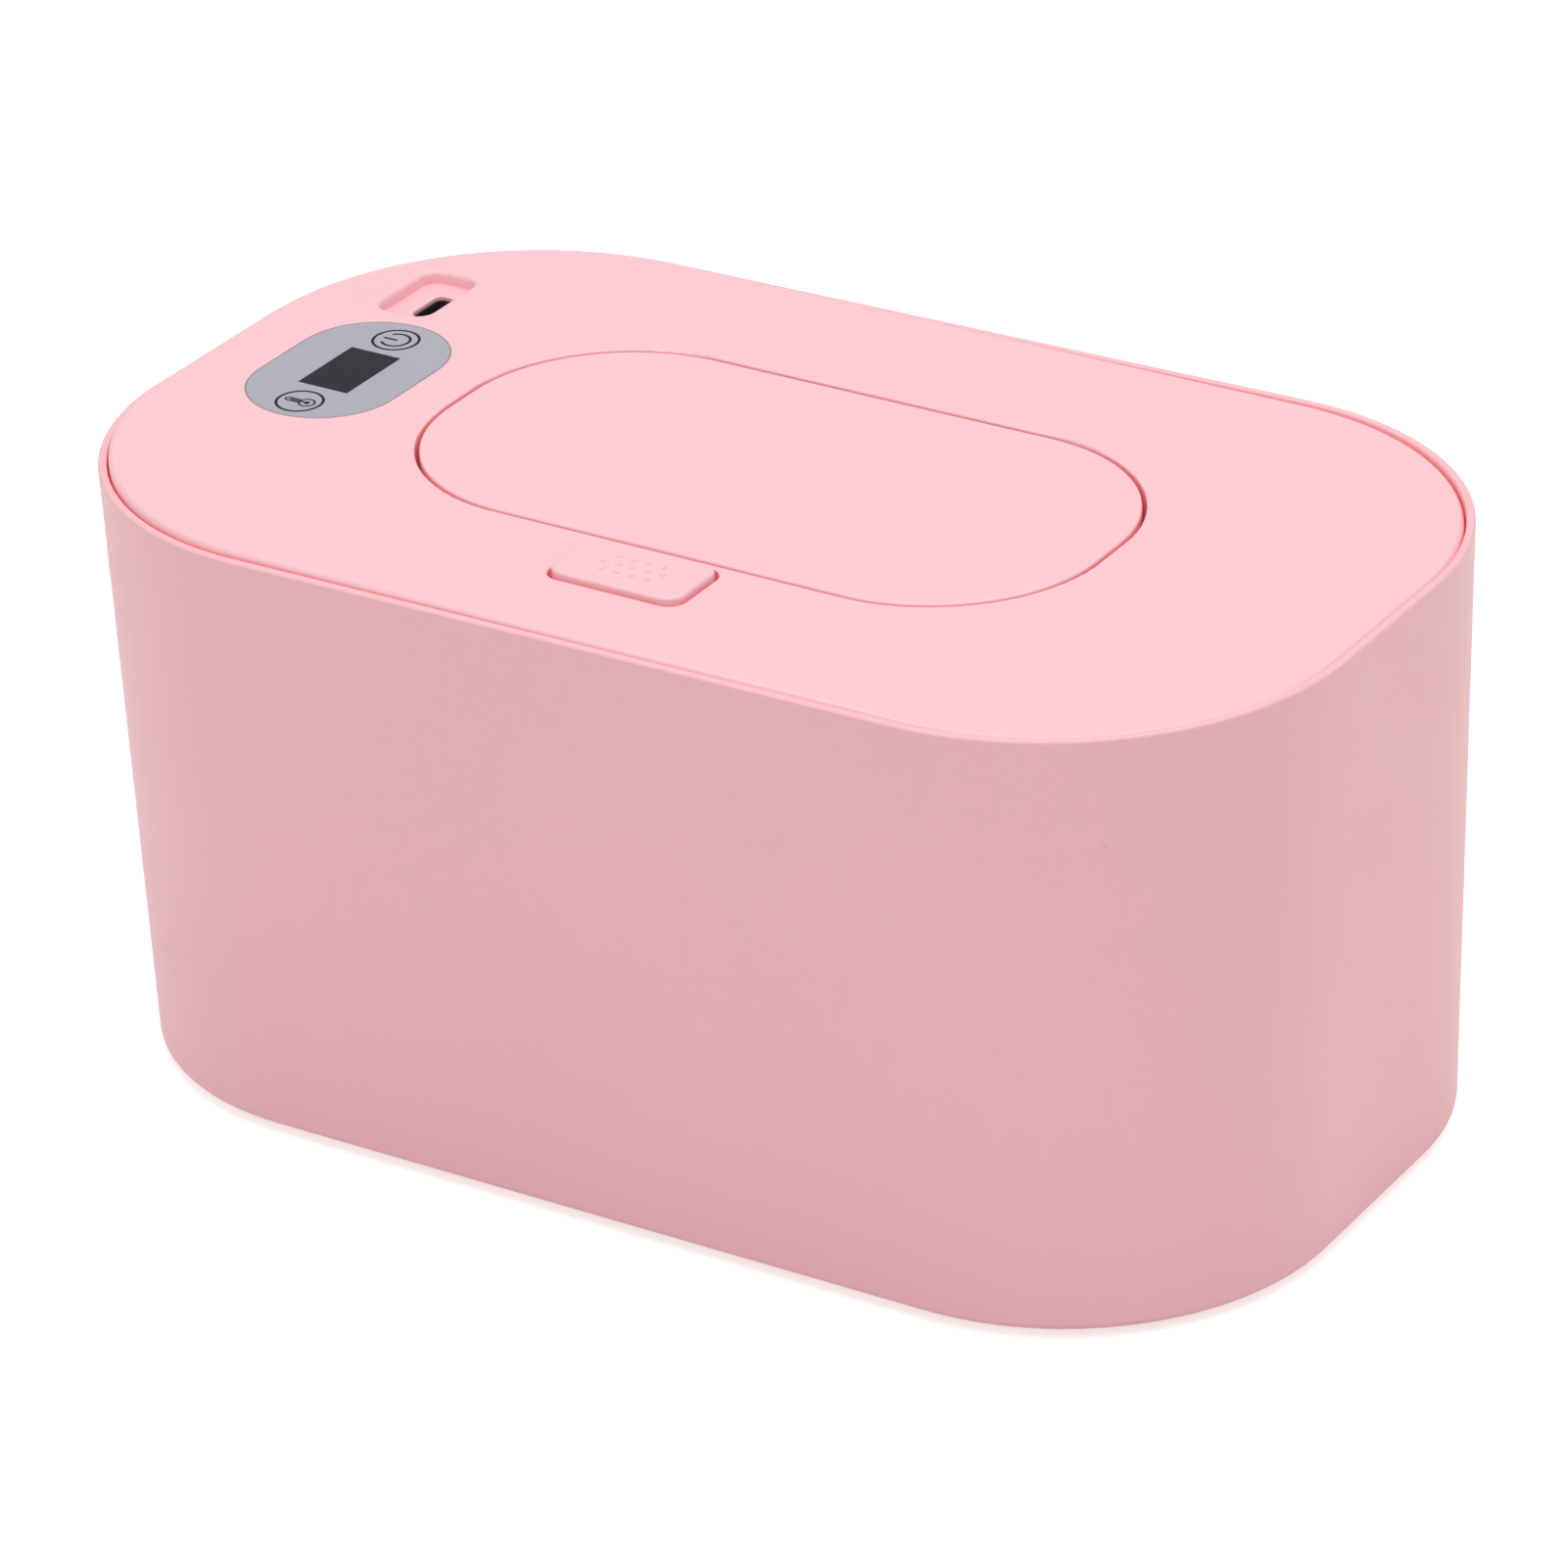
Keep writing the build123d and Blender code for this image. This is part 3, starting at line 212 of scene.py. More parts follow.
class StageSettings(bpy.types.PropertyGroup):
    """Camera and floor."""

    azimuth: angle("Azimuth", "Turn of the camera round the warmer", 32.929)
    elevation: angle("Elevation", "Height of the camera above the horizon", 27.38)
    roll: angle("Roll", "Turn of the camera about its own line of sight", -2.384)
    distance: length("Distance", "From the camera to its target", 1168.745)
    focal: FloatProperty(
        name="Focal length", description="Focal length on a 36 mm sensor", default=173.93,
        unit="CAMERA",
    )
    target_x: length("Target X", "Point that the camera looks at", -1.321)
    target_y: length("Target Y", "Point that the camera looks at", 0.7)
    target_z: length("Target Z", "Point that the camera looks at", 47.271)
    floor_radius: length("Floor radius", "Half the floor's width", 4000.0)


# ---------------------------------------------------------------- selection and mesh tools
def let_go():
    """Leaves edit mode and deselects every object."""
    if bpy.context.mode != "OBJECT":
        bpy.ops.object.mode_set(mode="OBJECT")
    bpy.ops.object.select_all(action="DESELECT")


def start_piece(name):
    """An empty mesh object, left in edit mode."""
    let_go()
    bpy.ops.mesh.primitive_plane_add()
    piece = bpy.context.object
    piece.name = piece.data.name = name
    bpy.ops.object.mode_set(mode="EDIT")
    bpy.ops.mesh.select_all(action="SELECT")
    bpy.ops.mesh.delete(type="VERT")
    return piece


def keep_loop(piece, name):
    """Names the selected points, so that they can be picked again."""
    bpy.ops.object.vertex_group_assign_new()
    piece.vertex_groups.active.name = name


def pick(piece, *names):
    """Selects the points of the named loops and nothing else."""
    bpy.ops.mesh.select_all(action="DESELECT")
    for name in names:
        piece.vertex_groups.active = piece.vertex_groups[name]
        bpy.ops.object.vertex_group_select()


def inset_box(box, inset):
    """A left, right, front and back made smaller all round."""
    left, right, front, back = box
    return left + inset, right - inset, front + inset, back - inset


def middle_box(x, y, size_x, size_y):
    """The left, right, front and back of a box round a point."""
    return x - size_x / 2, x + size_x / 2, y - size_y / 2, y + size_y / 2


def add_outline(piece, name, box, corner, height=0.0, steps=12):
    """Loop in the shape of a rounded rectangle. The box is its left, right, front and back."""
    left, right, front, back = box
    centre = Vector(((left + right) / 2, (front + back) / 2, height))
    bpy.ops.mesh.select_all(action="DESELECT")
    bpy.ops.mesh.primitive_plane_add(size=1.0, location=centre)
    bpy.ops.transform.resize(value=(right - left, back - front, 1.0), center_override=centre)
    bpy.ops.mesh.bevel(offset=corner, segments=steps, profile=0.5, affect="VERTICES")
    keep_loop(piece, name)
    bpy.ops.mesh.delete(type="ONLY_FACE")


def add_circle(piece, name, x, y, radius, height=0.0, sides=64):
    """Round loop at a height."""
    bpy.ops.mesh.select_all(action="DESELECT")
    bpy.ops.mesh.primitive_circle_add(vertices=sides, radius=radius, location=(x, y, height))
    keep_loop(piece, name)


def join_loops(piece, *names):
    """Skin from each named loop to the next.

    Two loops match up safely only when one is well above the other, so the second is lifted
    while they are joined.
    """
    for first, second in zip(names, names[1:]):
        pick(piece, second)
        bpy.ops.transform.translate(value=(0.0, 0.0, JOINING_LIFT))
        pick(piece, first, second)
        bpy.ops.mesh.bridge_edge_loops()
        pick(piece, second)
        bpy.ops.transform.translate(value=(0.0, 0.0, -JOINING_LIFT))


def close_loop(piece, name):
    """Flat face across a loop."""
    pick(piece, name)
    bpy.ops.mesh.edge_face_add()


def round_loops(piece, radius, segments, *names):
    """Rounded edges along the named loops."""
    for name in names:
        pick(piece, name)
        bpy.ops.mesh.bevel(offset=radius, segments=segments, profile=0.5, affect="EDGES")


def raise_ink(piece, height, *names):
    """Gives the flat faces between the named loops the thickness of printed ink."""
    pick(piece, *names)
    bpy.ops.mesh.extrude_region_move(TRANSFORM_OT_translate={"value": (0.0, 0.0, height)})


def ink_ring(piece, name, x, y, radius, stroke, ink):
    """Printed ring."""
    for edge, size in (("_outside", radius + stroke / 2), ("_inside", radius - stroke / 2)):
        add_circle(piece, name + edge, x, y, size, sides=96)
    join_loops(piece, name + "_outside", name + "_inside")
    raise_ink(piece, ink, name + "_outside", name + "_inside")


def ink_bar(piece, name, box, stroke, ink):
    """Printed bar with slightly rounded corners."""
    add_outline(piece, name, box, stroke * SQUARE_END, steps=4)
    close_loop(piece, name)
    raise_ink(piece, ink, name)


def end_piece(piece, smooth=SMOOTH_ANGLE):
    """Leaves edit mode with sound normals and smooth shading that keeps the sharp edges."""
    bpy.ops.mesh.select_all(action="SELECT")
    bpy.ops.mesh.remove_doubles(threshold=MERGE_DISTANCE)
    bpy.ops.mesh.normals_make_consistent(inside=False)
    bpy.ops.object.mode_set(mode="OBJECT")
    piece.vertex_groups.clear()
    bpy.ops.object.shade_smooth_by_angle(angle=math.radians(smooth))


def set_in_cover(piece):
    """Moves a piece drawn on a level top face to the cover's sloping one."""
    cover = bpy.context.scene.warmer_cover
    place = Matrix.Translation((0.0, 0.0, cover.top)) @ Matrix.Rotation(cover.slope, 4, "Y")
    piece.matrix_world = place
    let_go()
    piece.select_set(True)
    bpy.context.view_layer.objects.active = piece
    bpy.ops.object.transform_apply(location=True, rotation=True, scale=True)


def hand_over(piece, chosen, body, slot, *replaced):
    """Gives a piece its finish, the body that carries it and the nodes that it stands for."""
    piece.data.materials.clear()
    piece.data.materials.append(finish(chosen))
    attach(piece, body)
    if replaced:
        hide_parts(*replaced)


def hand_over_print(piece, ink):
    """Ends a printed piece and lays it on the panel."""
    end_piece(piece)
    set_in_cover(piece)
    hand_over(piece, ink, "cover", "panel_grey")


# ---------------------------------------------------------------- materials
def scaled(rgb, factor):
    """A colour made darker or lighter."""
    return tuple(min(1.0, c * factor) for c in rgb)


class Recipe:
    """A material in the making, with short ways to add its nodes."""

    def __init__(self, name, rgb):
        self.material = bpy.data.materials.new(name)
        self.material.use_nodes = True
        self.nodes = self.material.node_tree.nodes
        self.links = self.material.node_tree.links
        self.shader = self.nodes["Principled BSDF"]
        self.place = self.nodes.new("ShaderNodeTexCoord").outputs["Object"]
        self.rgb = rgb

    def give(self, socket, value):
        """Links a socket to another, or sets it to a number or a colour."""
        if isinstance(value, bpy.types.NodeSocket):
            self.links.new(value, socket)
        else:
            socket.default_value = value

    def skin(self, **values):
        """Sets or links the shader's sockets, named with _ for a space."""
        names = {name.lower().replace(" ", "_"): name for name in self.shader.inputs.keys()}
        for name, value in values.items():
            self.give(self.shader.inputs[names[name]], value)

    def add(self, kind, **values):
        """A new node, its sockets named with _ for a space and given numbers or links."""
        node = self.nodes.new(kind)
        for name, value in values.items():
            self.give(node.inputs[name.replace("_", " ").title()], value)
        return node

    def noise(self, scale, detail, roughness=0.5, place=None):
        """Cloudy values, on the piece's own coordinates unless others are given."""
        place = self.place if place is None else place
        return self.add(
            "ShaderNodeTexNoise", vector=place, scale=scale, detail=detail, roughness=roughness
        ).outputs["Fac"]

    def spread(self, source, low, high, start=0.3, end=0.7):
        """The part of a value from start to end, stretched to a range of its own."""
        return self.add(
            "ShaderNodeMapRange", value=source, from_min=start, from_max=end, to_min=low,
            to_max=high,
        ).outputs["Result"]

    def mixed(self, factor, first, second):
        """A colour between two others, each a plain colour or a socket."""
        node = self.nodes.new("ShaderNodeMix")
        node.data_type = "RGBA"
        self.links.new(factor, node.inputs[0])
        for socket, value in ((node.inputs[6], first), (node.inputs[7], second)):
            self.give(socket, (*value, 1.0) if isinstance(value, tuple) else value)
        return node.outputs[2]

    def shades(self, source, dark, light):
        """The material's own colour, made darker and lighter by a noise."""
        share = self.spread(source, 0.0, 1.0)
        return self.mixed(share, scaled(self.rgb, dark), scaled(self.rgb, light))

    def relief(self, height, depth):
        """A bump of a real depth, in millimetres."""
        bump = self.add("ShaderNodeBump", height=height, strength=1.0, distance=depth * MM)
        self.skin(normal=bump.outputs["Normal"])


def moulded_plastic(name, rgb, roughness, grain=2200.0, depth=0.004, gaps=None, shine=0.5):
    """Injection-moulded plastic with faint flow marks, a fine grain and a few dust specks.

    In its gaps and corners the colour is painted deeper and redder as shade, and a faint painted
    glow, pale in shallow gaps and red in deep ones, stands in for light let through the plastic.
    """
    made = Recipe(name, rgb)
    shade = made.shades(made.noise(scale=14.0, detail=3.0), 0.985, 1.012)
    dust = made.add("ShaderNodeTexVoronoi", vector=made.place, scale=62.0)
    specks = made.spread(dust.outputs["Distance"], 0.35, 0.0, start=0.012, end=0.034)
    tone = made.mixed(specks, shade, scaled(rgb, 0.72))
    if gaps is not None:
        gap_shade_colour, near, far = gaps
        # Painted shade: where the surroundings are hidden within 4 mm, the colour is blended
        # towards the gap shade colour.
        open_sky = made.add("ShaderNodeAmbientOcclusion", distance=4.0 * MM)
        open_sky.samples = 8
        seen = open_sky.outputs["AO"]
        deep = made.spread(seen, 1.0, 0.0, start=0.1, end=0.62)
        tone = made.mixed(deep, tone, gap_shade_colour)
        # Painted glow: a faint emission in the same gaps, pale where shallow and red where deep,
        # in place of light let through the plastic.
        made.skin(
            emission_color=made.mixed(deep, near, far),
            emission_strength=made.spread(seen, 0.06, 0.0, start=0.3, end=0.62),
        )
    cloud = made.noise(scale=55.0, detail=2.0)
    made.skin(
        base_color=tone,
        roughness=made.spread(cloud, roughness - 0.03, roughness + 0.03),
        specular_ior_level=shine,
    )
    made.relief(made.noise(scale=grain, detail=2.0), depth)
    return made.material


def soft_rubber(name, rgb, roughness, grain=900.0, depth=0.02):
    """Rubber or silicone with a matt, slightly dusty skin."""
    made = Recipe(name, rgb)
    cloud = made.noise(scale=120.0, detail=4.0)
    made.skin(
        base_color=made.shades(cloud, 0.96, 1.03),
        roughness=made.spread(cloud, roughness - 0.06, roughness + 0.06),
    )
    made.relief(made.noise(scale=grain, detail=3.0), depth)
    return made.material


def drawn_metal(name, rgb, roughness, stretch=(1.0, 1.0, 30.0)):
    """Metal with fine lines along one direction and a little tarnish."""
    made = Recipe(name, rgb)
    along = made.add("ShaderNodeMapping", vector=made.place, scale=stretch).outputs["Vector"]
    lines = made.noise(scale=300.0, detail=4.0, roughness=0.7, place=along)
    made.skin(
        base_color=made.shades(made.noise(scale=90.0, detail=3.0), 0.88, 1.05),
        roughness=made.spread(lines, roughness - 0.08, roughness + 0.1),
        metallic=1.0,
    )
    made.relief(lines, 0.004)
    return made.material


def cell_foam(name, rgb):
    """Open-cell foam: pits of mixed size, their bottoms painted darker as shade."""
    made = Recipe(name, rgb)
    cells = made.add("ShaderNodeTexVoronoi", vector=made.place, scale=1100.0)
    pits = made.spread(cells.outputs["Distance"], 0.0, 1.0, start=0.1, end=0.6)
    # Painted shade: the colour is darker towards the bottom of each pit.
    made.skin(
        base_color=made.mixed(pits, scaled(rgb, 0.6), scaled(rgb, 1.05)),
        roughness=0.95,
    )
    made.relief(pits, 0.25)
    return made.material


def etched_film(name, rgb, track):
    """Amber film with the heater's bright tracks showing through in stripes."""
    made = Recipe(name, rgb)
    stripes = made.add("ShaderNodeTexWave", vector=made.place, scale=62.0, distortion=0.0)
    stripes.bands_direction = "Y"
    tracks = made.spread(stripes.outputs["Fac"], 0.0, 1.0, start=0.55, end=0.65)
    cloud = made.noise(scale=60.0, detail=3.0)
    made.skin(
        base_color=made.mixed(tracks, made.shades(cloud, 0.9, 1.1), track),
        roughness=made.spread(cloud, 0.22, 0.34),
    )
    made.relief(tracks, 0.03)
    return made.material


def coated_board(name, rgb, copper):
    """Lacquered circuit board with copper tracks under the lacquer."""
    made = Recipe(name, rgb)
    tracks = made.add(
        "ShaderNodeTexBrick", vector=made.place, scale=180.0, mortar_size=0.07, mortar_smooth=0.1
    ).outputs["Fac"]
    cloud = made.noise(scale=140.0, detail=3.0)
    made.skin(
        base_color=made.mixed(tracks, made.shades(cloud, 0.9, 1.1), copper),
        roughness=made.spread(cloud, 0.28, 0.42),
    )
    made.relief(tracks, 0.035)
    return made.material


def printed_film(name, rgb):
    """Satin plastic film, printed on its underside: a fine even matt texture."""
    made = Recipe(name, rgb)
    cloud = made.noise(scale=45.0, detail=2.0)
    made.skin(base_color=made.shades(cloud, 0.98, 1.02), roughness=made.spread(cloud, 0.36, 0.44))
    made.relief(made.noise(scale=3500.0, detail=2.0), 0.003)
    return made.material


def smoked_window(name, rgb):
    """Dark satin window, slightly uneven, that hides the display while it is off."""
    made = Recipe(name, rgb)
    cloud = made.noise(scale=80.0, detail=2.0)
    made.skin(
        base_color=made.shades(cloud, 0.93, 1.07),
        roughness=made.spread(cloud, 0.2, 0.3),
        specular_ior_level=0.12,
    )
    made.relief(made.noise(scale=2500.0, detail=2.0), 0.002)
    return made.material


def printed_ink(name, rgb):
    """Screen-printed ink: matt and slightly uneven."""
    made = Recipe(name, rgb)
    cloud = made.noise(scale=900.0, detail=3.0)
    made.skin(
        base_color=made.shades(cloud, 0.85, 1.2),
        roughness=made.spread(cloud, 0.3, 0.42),
        specular_ior_level=0.08,
    )
    made.relief(cloud, 0.004)
    return made.material


def make_finishes():
    """Every finish, by the record's material slot or by a name of its own."""
    colours = bpy.context.scene.warmer_colours
    # The pink plastics get a painted gap shade and a painted glow in their gaps and corners.
    gaps = tuple(colours.painted_gap_shade), tuple(colours.painted_glow_shallow), tuple(colours.painted_glow_deep)
    return {
        "pink_shell": moulded_plastic("cover_plastic", tuple(colours.cover_pink), 0.34, gaps=gaps),
        "tub_plastic": moulded_plastic(
            "tub_plastic", tuple(colours.tub_pink), 0.46, gaps=gaps, shine=0.42
        ),
        "foot_rubber": soft_rubber("foot_rubber", (0.35, 0.34, 0.34), 0.8),
        "silicone": soft_rubber("silicone", (0.72, 0.7, 0.69), 0.55, 700.0, 0.012),
        "steel": drawn_metal("zinc_plated_steel", (0.62, 0.62, 0.6), 0.3),
        "foam": cell_foam("insulation_foam", (0.2, 0.2, 0.21)),
        "amber_film": etched_film("heater_film", (0.55, 0.25, 0.04), (0.6, 0.42, 0.25)),
        "plate_aluminium": drawn_metal(
            "rolled_aluminium", (0.78, 0.79, 0.8), 0.34, stretch=(1.0, 40.0, 1.0)
        ),
        "ceramic_white": soft_rubber("ceramic", (0.82, 0.8, 0.75), 0.6, 1500.0, 0.008),
        "epoxy_black": moulded_plastic("black_epoxy", (0.02, 0.02, 0.021), 0.5, 1500.0, 0.02),
        "lead_red": moulded_plastic("red_lead", (0.55, 0.03, 0.025), 0.42, 900.0, 0.01),
        "lead_white": moulded_plastic("white_lead", (0.76, 0.75, 0.72), 0.42, 900.0, 0.01),
        "panel_grey": printed_film("panel_film", tuple(colours.panel_grey)),
        "smoked_lens": smoked_window("smoked_window", tuple(colours.screen)),
        "module_white": moulded_plastic("white_nylon", (0.8, 0.79, 0.75), 0.5, 1200.0, 0.01),
        "board_green": coated_board("green_board", (0.015, 0.16, 0.05), (0.02, 0.25, 0.08)),
        "spring_steel": drawn_metal("spring_steel", (0.5, 0.5, 0.49), 0.26),
        "capacitor_can": moulded_plastic(
            "capacitor_sleeve", (0.03, 0.03, 0.04), 0.35, 900.0, 0.01
        ),
        "symbol_ink": printed_ink("symbol_ink", tuple(colours.print_ink)),
        "stem_ink": printed_ink("stem_ink", tuple(colours.stem_ink)),
        "edge_line": printed_ink("edge_line", tuple(colours.edge_line)),
    }


def finish(name):
    """A finish by name. All of them are made at the first call."""
    if not FINISHES:
        FINISHES.update(make_finishes())
    return FINISHES[name]


# ---------------------------------------------------------------- operators
def power_symbol(sizes):
    """Ring round an open arc with a short bar across its opening."""
    piece = start_piece("power_symbol")
    x, y, stroke = sizes.power_x, sizes.power_y, sizes.stroke
    add_circle(piece, "arc_outside", x, y, sizes.power_radius + stroke / 2)
    add_circle(piece, "arc_inside", x, y, sizes.power_radius - stroke / 2)
    join_loops(piece, "arc_outside", "arc_inside")
    mesh = bmesh.from_edit_mesh(piece.data)
    for face in mesh.faces:
        middle = face.calc_center_median()
        turn = abs(math.atan2(middle.y - y, x - middle.x))
        face.select_set(turn < sizes.power_gap / 2)
    bmesh.update_edit_mesh(piece.data)
    bpy.ops.mesh.delete(type="FACE")
    raise_ink(piece, sizes.ink, "arc_outside", "arc_inside")
    ink_ring(piece, "ring", x, y, sizes.ring_radius, stroke, sizes.ink)
    bar = (x - sizes.power_radius, x + stroke / 2, y - stroke / 2, y + stroke / 2)
    ink_bar(piece, "bar", bar, stroke, sizes.ink)
    hand_over_print(piece, "symbol_ink")


def thermometer_symbol(sizes):
    """Ring round a bulb with a dot in it and a thread that enters it."""
    piece = start_piece("thermometer_symbol")
    x, y, stroke = sizes.heat_x, sizes.heat_y, sizes.bulb_stroke
    bulb = x + sizes.bulb_shift
    ink_ring(piece, "ring", x, y, sizes.ring_radius, sizes.stroke, sizes.ink)
    ink_ring(piece, "bulb", bulb, y, sizes.bulb_radius, stroke, sizes.ink)
    add_circle(piece, "dot", bulb, y, sizes.bulb_dot, sides=32)
    close_loop(piece, "dot")
    raise_ink(piece, sizes.ink, "dot")
    thread = (bulb - sizes.bulb_radius, bulb, y - stroke / 2, y + stroke / 2)
    ink_bar(piece, "thread", thread, stroke, sizes.ink * THREAD_INK)
    hand_over_print(piece, "symbol_ink")


def thermometer_stem(sizes):
    """Round-ended stem with a hole in its far end."""
    piece = start_piece("thermometer_stem")
    y, half = sizes.heat_y, sizes.stem_width / 2
    left = sizes.heat_x - sizes.stem_left
    right = sizes.heat_x + sizes.bulb_shift - sizes.bulb_radius * STEM_REACH
    add_outline(piece, "stem", (left, right, y - half, y + half), half * STEM_END, steps=10)
    add_circle(piece, "hole", left + half, y, half * STEM_HOLE, sides=24)
    pick(piece, "stem", "hole")
    bpy.ops.mesh.fill()
    raise_ink(piece, sizes.ink * STEM_INK, "stem", "hole")
    hand_over_print(piece, "stem_ink")


def panel_edge_line(sizes):
    """Fine line round the panel."""
    piece = start_piece("panel_edge_line")
    box = middle_box(sizes.centre_x, sizes.centre_y, sizes.width, sizes.height)
    line = sizes.edge_line
    add_outline(piece, "outside", box, sizes.corner, steps=24)
    add_outline(piece, "inside", inset_box(box, line), sizes.corner - line, steps=24)
    join_loops(piece, "outside", "inside")
    raise_ink(piece, sizes.ink, "outside", "inside")
    hand_over_print(piece, "edge_line")


class WARMER_OT_panel_print(bpy.types.Operator):
    """Print the power and thermometer symbols on the control panel and lay a fine darker line
    round its edge
    """

    bl_idname = "warmer.panel_print"
    bl_label = "Panel print"

    def execute(self, context):
        for draw in (power_symbol, thermometer_symbol, thermometer_stem, panel_edge_line):
            draw(context.scene.warmer_panel)
        return {"FINISHED"}


def throat_box(cover):
    """The throat's left, right, front and back."""
    return cover.throat_left, cover.throat_right, cover.throat_front, cover.throat_back


class WARMER_OT_wipe_outlet(bpy.types.Operator):
    """Model the silicone sheet under the throat, with a soft lip round its slot"""

    bl_idname = "warmer.wipe_outlet"
    bl_label = "Wipe outlet"

    def execute(self, context):
        cover, seals = context.scene.warmer_cover, context.scene.warmer_seals
        throat = left, right, front, back = throat_box(cover)
        sheet = inset_box(throat, -seals.outlet_flange)
        corner = cover.throat_corner + seals.outlet_flange
        top = -seals.outlet_top
        low = top - seals.outlet_sheet
        slot = middle_box(
            (left + right) / 2, (front + back) / 2, seals.slot_length, seals.slot_width
        )
        slot_end = seals.slot_width / 2 * SLOT_END
        lip, crest = seals.lip_width, seals.lip_width * LIP_CREST
        raised = top + seals.lip_rise

        piece = start_piece("wipe_outlet_soft")
        loops = (
            ("edge_low", sheet, corner, low),
            ("edge_top", sheet, corner, top),
            ("lip_foot", inset_box(slot, -lip), slot_end + lip, top),
            ("lip_top_outer", inset_box(slot, -crest), slot_end + crest, raised),
            ("lip_top", slot, slot_end, raised),
            ("slot_low", slot, slot_end, low),
        )
        for name, box, radius, height in loops:
            add_outline(piece, name, box, radius, height, steps=16)
        names = [loop[0] for loop in loops]
        join_loops(piece, *names, names[0])
        round_loops(piece, lip * LIP_ROUND, 4, "lip_top_outer", "lip_top")
        round_loops(piece, OUTLET_ROUND, 3, "slot_low", "edge_top", "edge_low")
        end_piece(piece)
        set_in_cover(piece)
        hand_over(piece, "silicone", "cover", "silicone", "wipe_outlet")
        return {"FINISHED"}


class WARMER_OT_lid_seal(bpy.types.Operator):
    """Model the soft ring under the lid, hollowed along its middle into two lips"""

    bl_idname = "warmer.lid_seal"
    bl_label = "Lid seal"

    def execute(self, context):
        cover, seals = context.scene.warmer_cover, context.scene.warmer_seals
        low, high = -seals.lid_seal_low, -seals.lid_seal_high
        piece = start_piece("lid_seal_soft")
        loops = (                   # name, share of the seal's width, height
            ("top_inside", 0.0, high), ("inside", 0.0, low), ("lip_inside", 0.3, low),
            ("hollow", 0.5, low + seals.lid_seal_groove), ("lip_outside", 0.7, low),
            ("outside", 1.0, low), ("top_outside", 1.0, high),
        )
        for name, part, height in loops:
            reach = seals.lid_seal_width * part
            box = inset_box(throat_box(cover), -reach)
            add_outline(piece, name, box, cover.throat_corner + reach, height, steps=20)
        names = [loop[0] for loop in loops]
        join_loops(piece, *names, names[0])
        round_loops(piece, LID_SEAL_ROUND, 3, *names[1:-1])
        end_piece(piece, SMOOTH_LID_SEAL)
        set_in_cover(piece)
        hand_over(piece, "silicone", "flip_lid", "silicone", "lid_seal")
        return {"FINISHED"}


class WARMER_OT_cover_seal(bpy.types.Operator):
    """Model the two-lipped ring round the cover's skirt, which presses on the tub's wall"""

    bl_idname = "warmer.cover_seal"
    bl_label = "Cover seal"

    def execute(self, context):
        cover, seals = context.scene.warmer_cover, context.scene.warmer_seals
        rim = middle_box(0.0, 0.0, cover.rim_length, cover.rim_width)
        tip = seals.cover_seal_inset
        face = tip + seals.cover_seal_lip
        root = face + seals.cover_seal_root
        piece = start_piece("cover_seal_soft")
        loops = (                   # name, distance in from the rim, share of the seal's height
            ("root_top", root, 0.02), ("face_top", face, 0.02), ("tip_top", tip, 0.2),
            ("hollow", face - COVER_SEAL_HOLLOW, 0.5), ("tip_low", tip, 0.8),
            ("face_low", face, 0.98), ("root_low", root, 0.98),
        )
        for name, inset, part in loops:
            height = -seals.cover_seal_top - seals.cover_seal_height * part
            box = inset_box(rim, inset)
            add_outline(piece, name, box, cover.rim_corner - inset, height, steps=20)
        names = [loop[0] for loop in loops]
        join_loops(piece, *names, names[0])
        round_loops(piece, COVER_SEAL_ROUND, 3, "tip_top", "hollow", "tip_low")
        end_piece(piece, SMOOTH_COVER_SEAL)
        set_in_cover(piece)
        hand_over(piece, "silicone", "cover", "silicone", "cover_seal")
        return {"FINISHED"}


class WARMER_OT_feet(bpy.types.Operator):
    """Model one rubber foot with grip rings and copy it to the four corners"""

    bl_idname = "warmer.feet"
    bl_label = "Rubber feet"

    def execute(self, context):
        seals = context.scene.warmer_seals
        low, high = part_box("rubber_feet")
        radius, groove = seals.foot_radius, seals.foot_groove
        x, y = low[0] + radius, low[1] + radius
        far_x, far_y = high[0] - radius, high[1] - radius

        foot = start_piece("rubber_foot")
        loops = [("top", radius, seals.foot_height), ("bottom", radius, 0.0)]
        for ring in range(GRIP_RINGS):
            ridge = radius * (FIRST_RIDGE - RIDGE_STEP * ring)
            loops += [
                (f"ridge_{ring}", ridge, 0.0),
                (f"groove_{ring}", ridge - GROOVE_START, groove),
                (f"groove_end_{ring}", ridge - GROOVE_END, groove),
                (f"land_{ring}", ridge - GROOVE_PITCH, 0.0),
            ]
        for name, size, height in loops:
            add_circle(foot, name, x, y, size, height, sides=48)
        names = [loop[0] for loop in loops]
        join_loops(foot, *names)
        close_loop(foot, names[0])
        close_loop(foot, names[-1])
        round_loops(foot, seals.foot_round, 4, "bottom")
        end_piece(foot)

        feet = [foot]
        for place_x, place_y in ((far_x, y), (x, far_y), (far_x, far_y)):
            twin = foot.copy()
            twin.data = foot.data.copy()
            twin.name = "rubber_foot"
            context.collection.objects.link(twin)
            twin.location = (place_x - x, place_y - y, 0.0)
            feet.append(twin)
        let_go()
        for twin in feet:
            twin.select_set(True)
        context.view_layer.objects.active = foot
        bpy.ops.object.transform_apply(location=True, rotation=True, scale=True)
        for twin in feet:
            replaced = ("rubber_feet",) if twin == feet[-1] else ()
            hand_over(twin, "foot_rubber", "tub", "foot_rubber", *replaced)
        return {"FINISHED"}


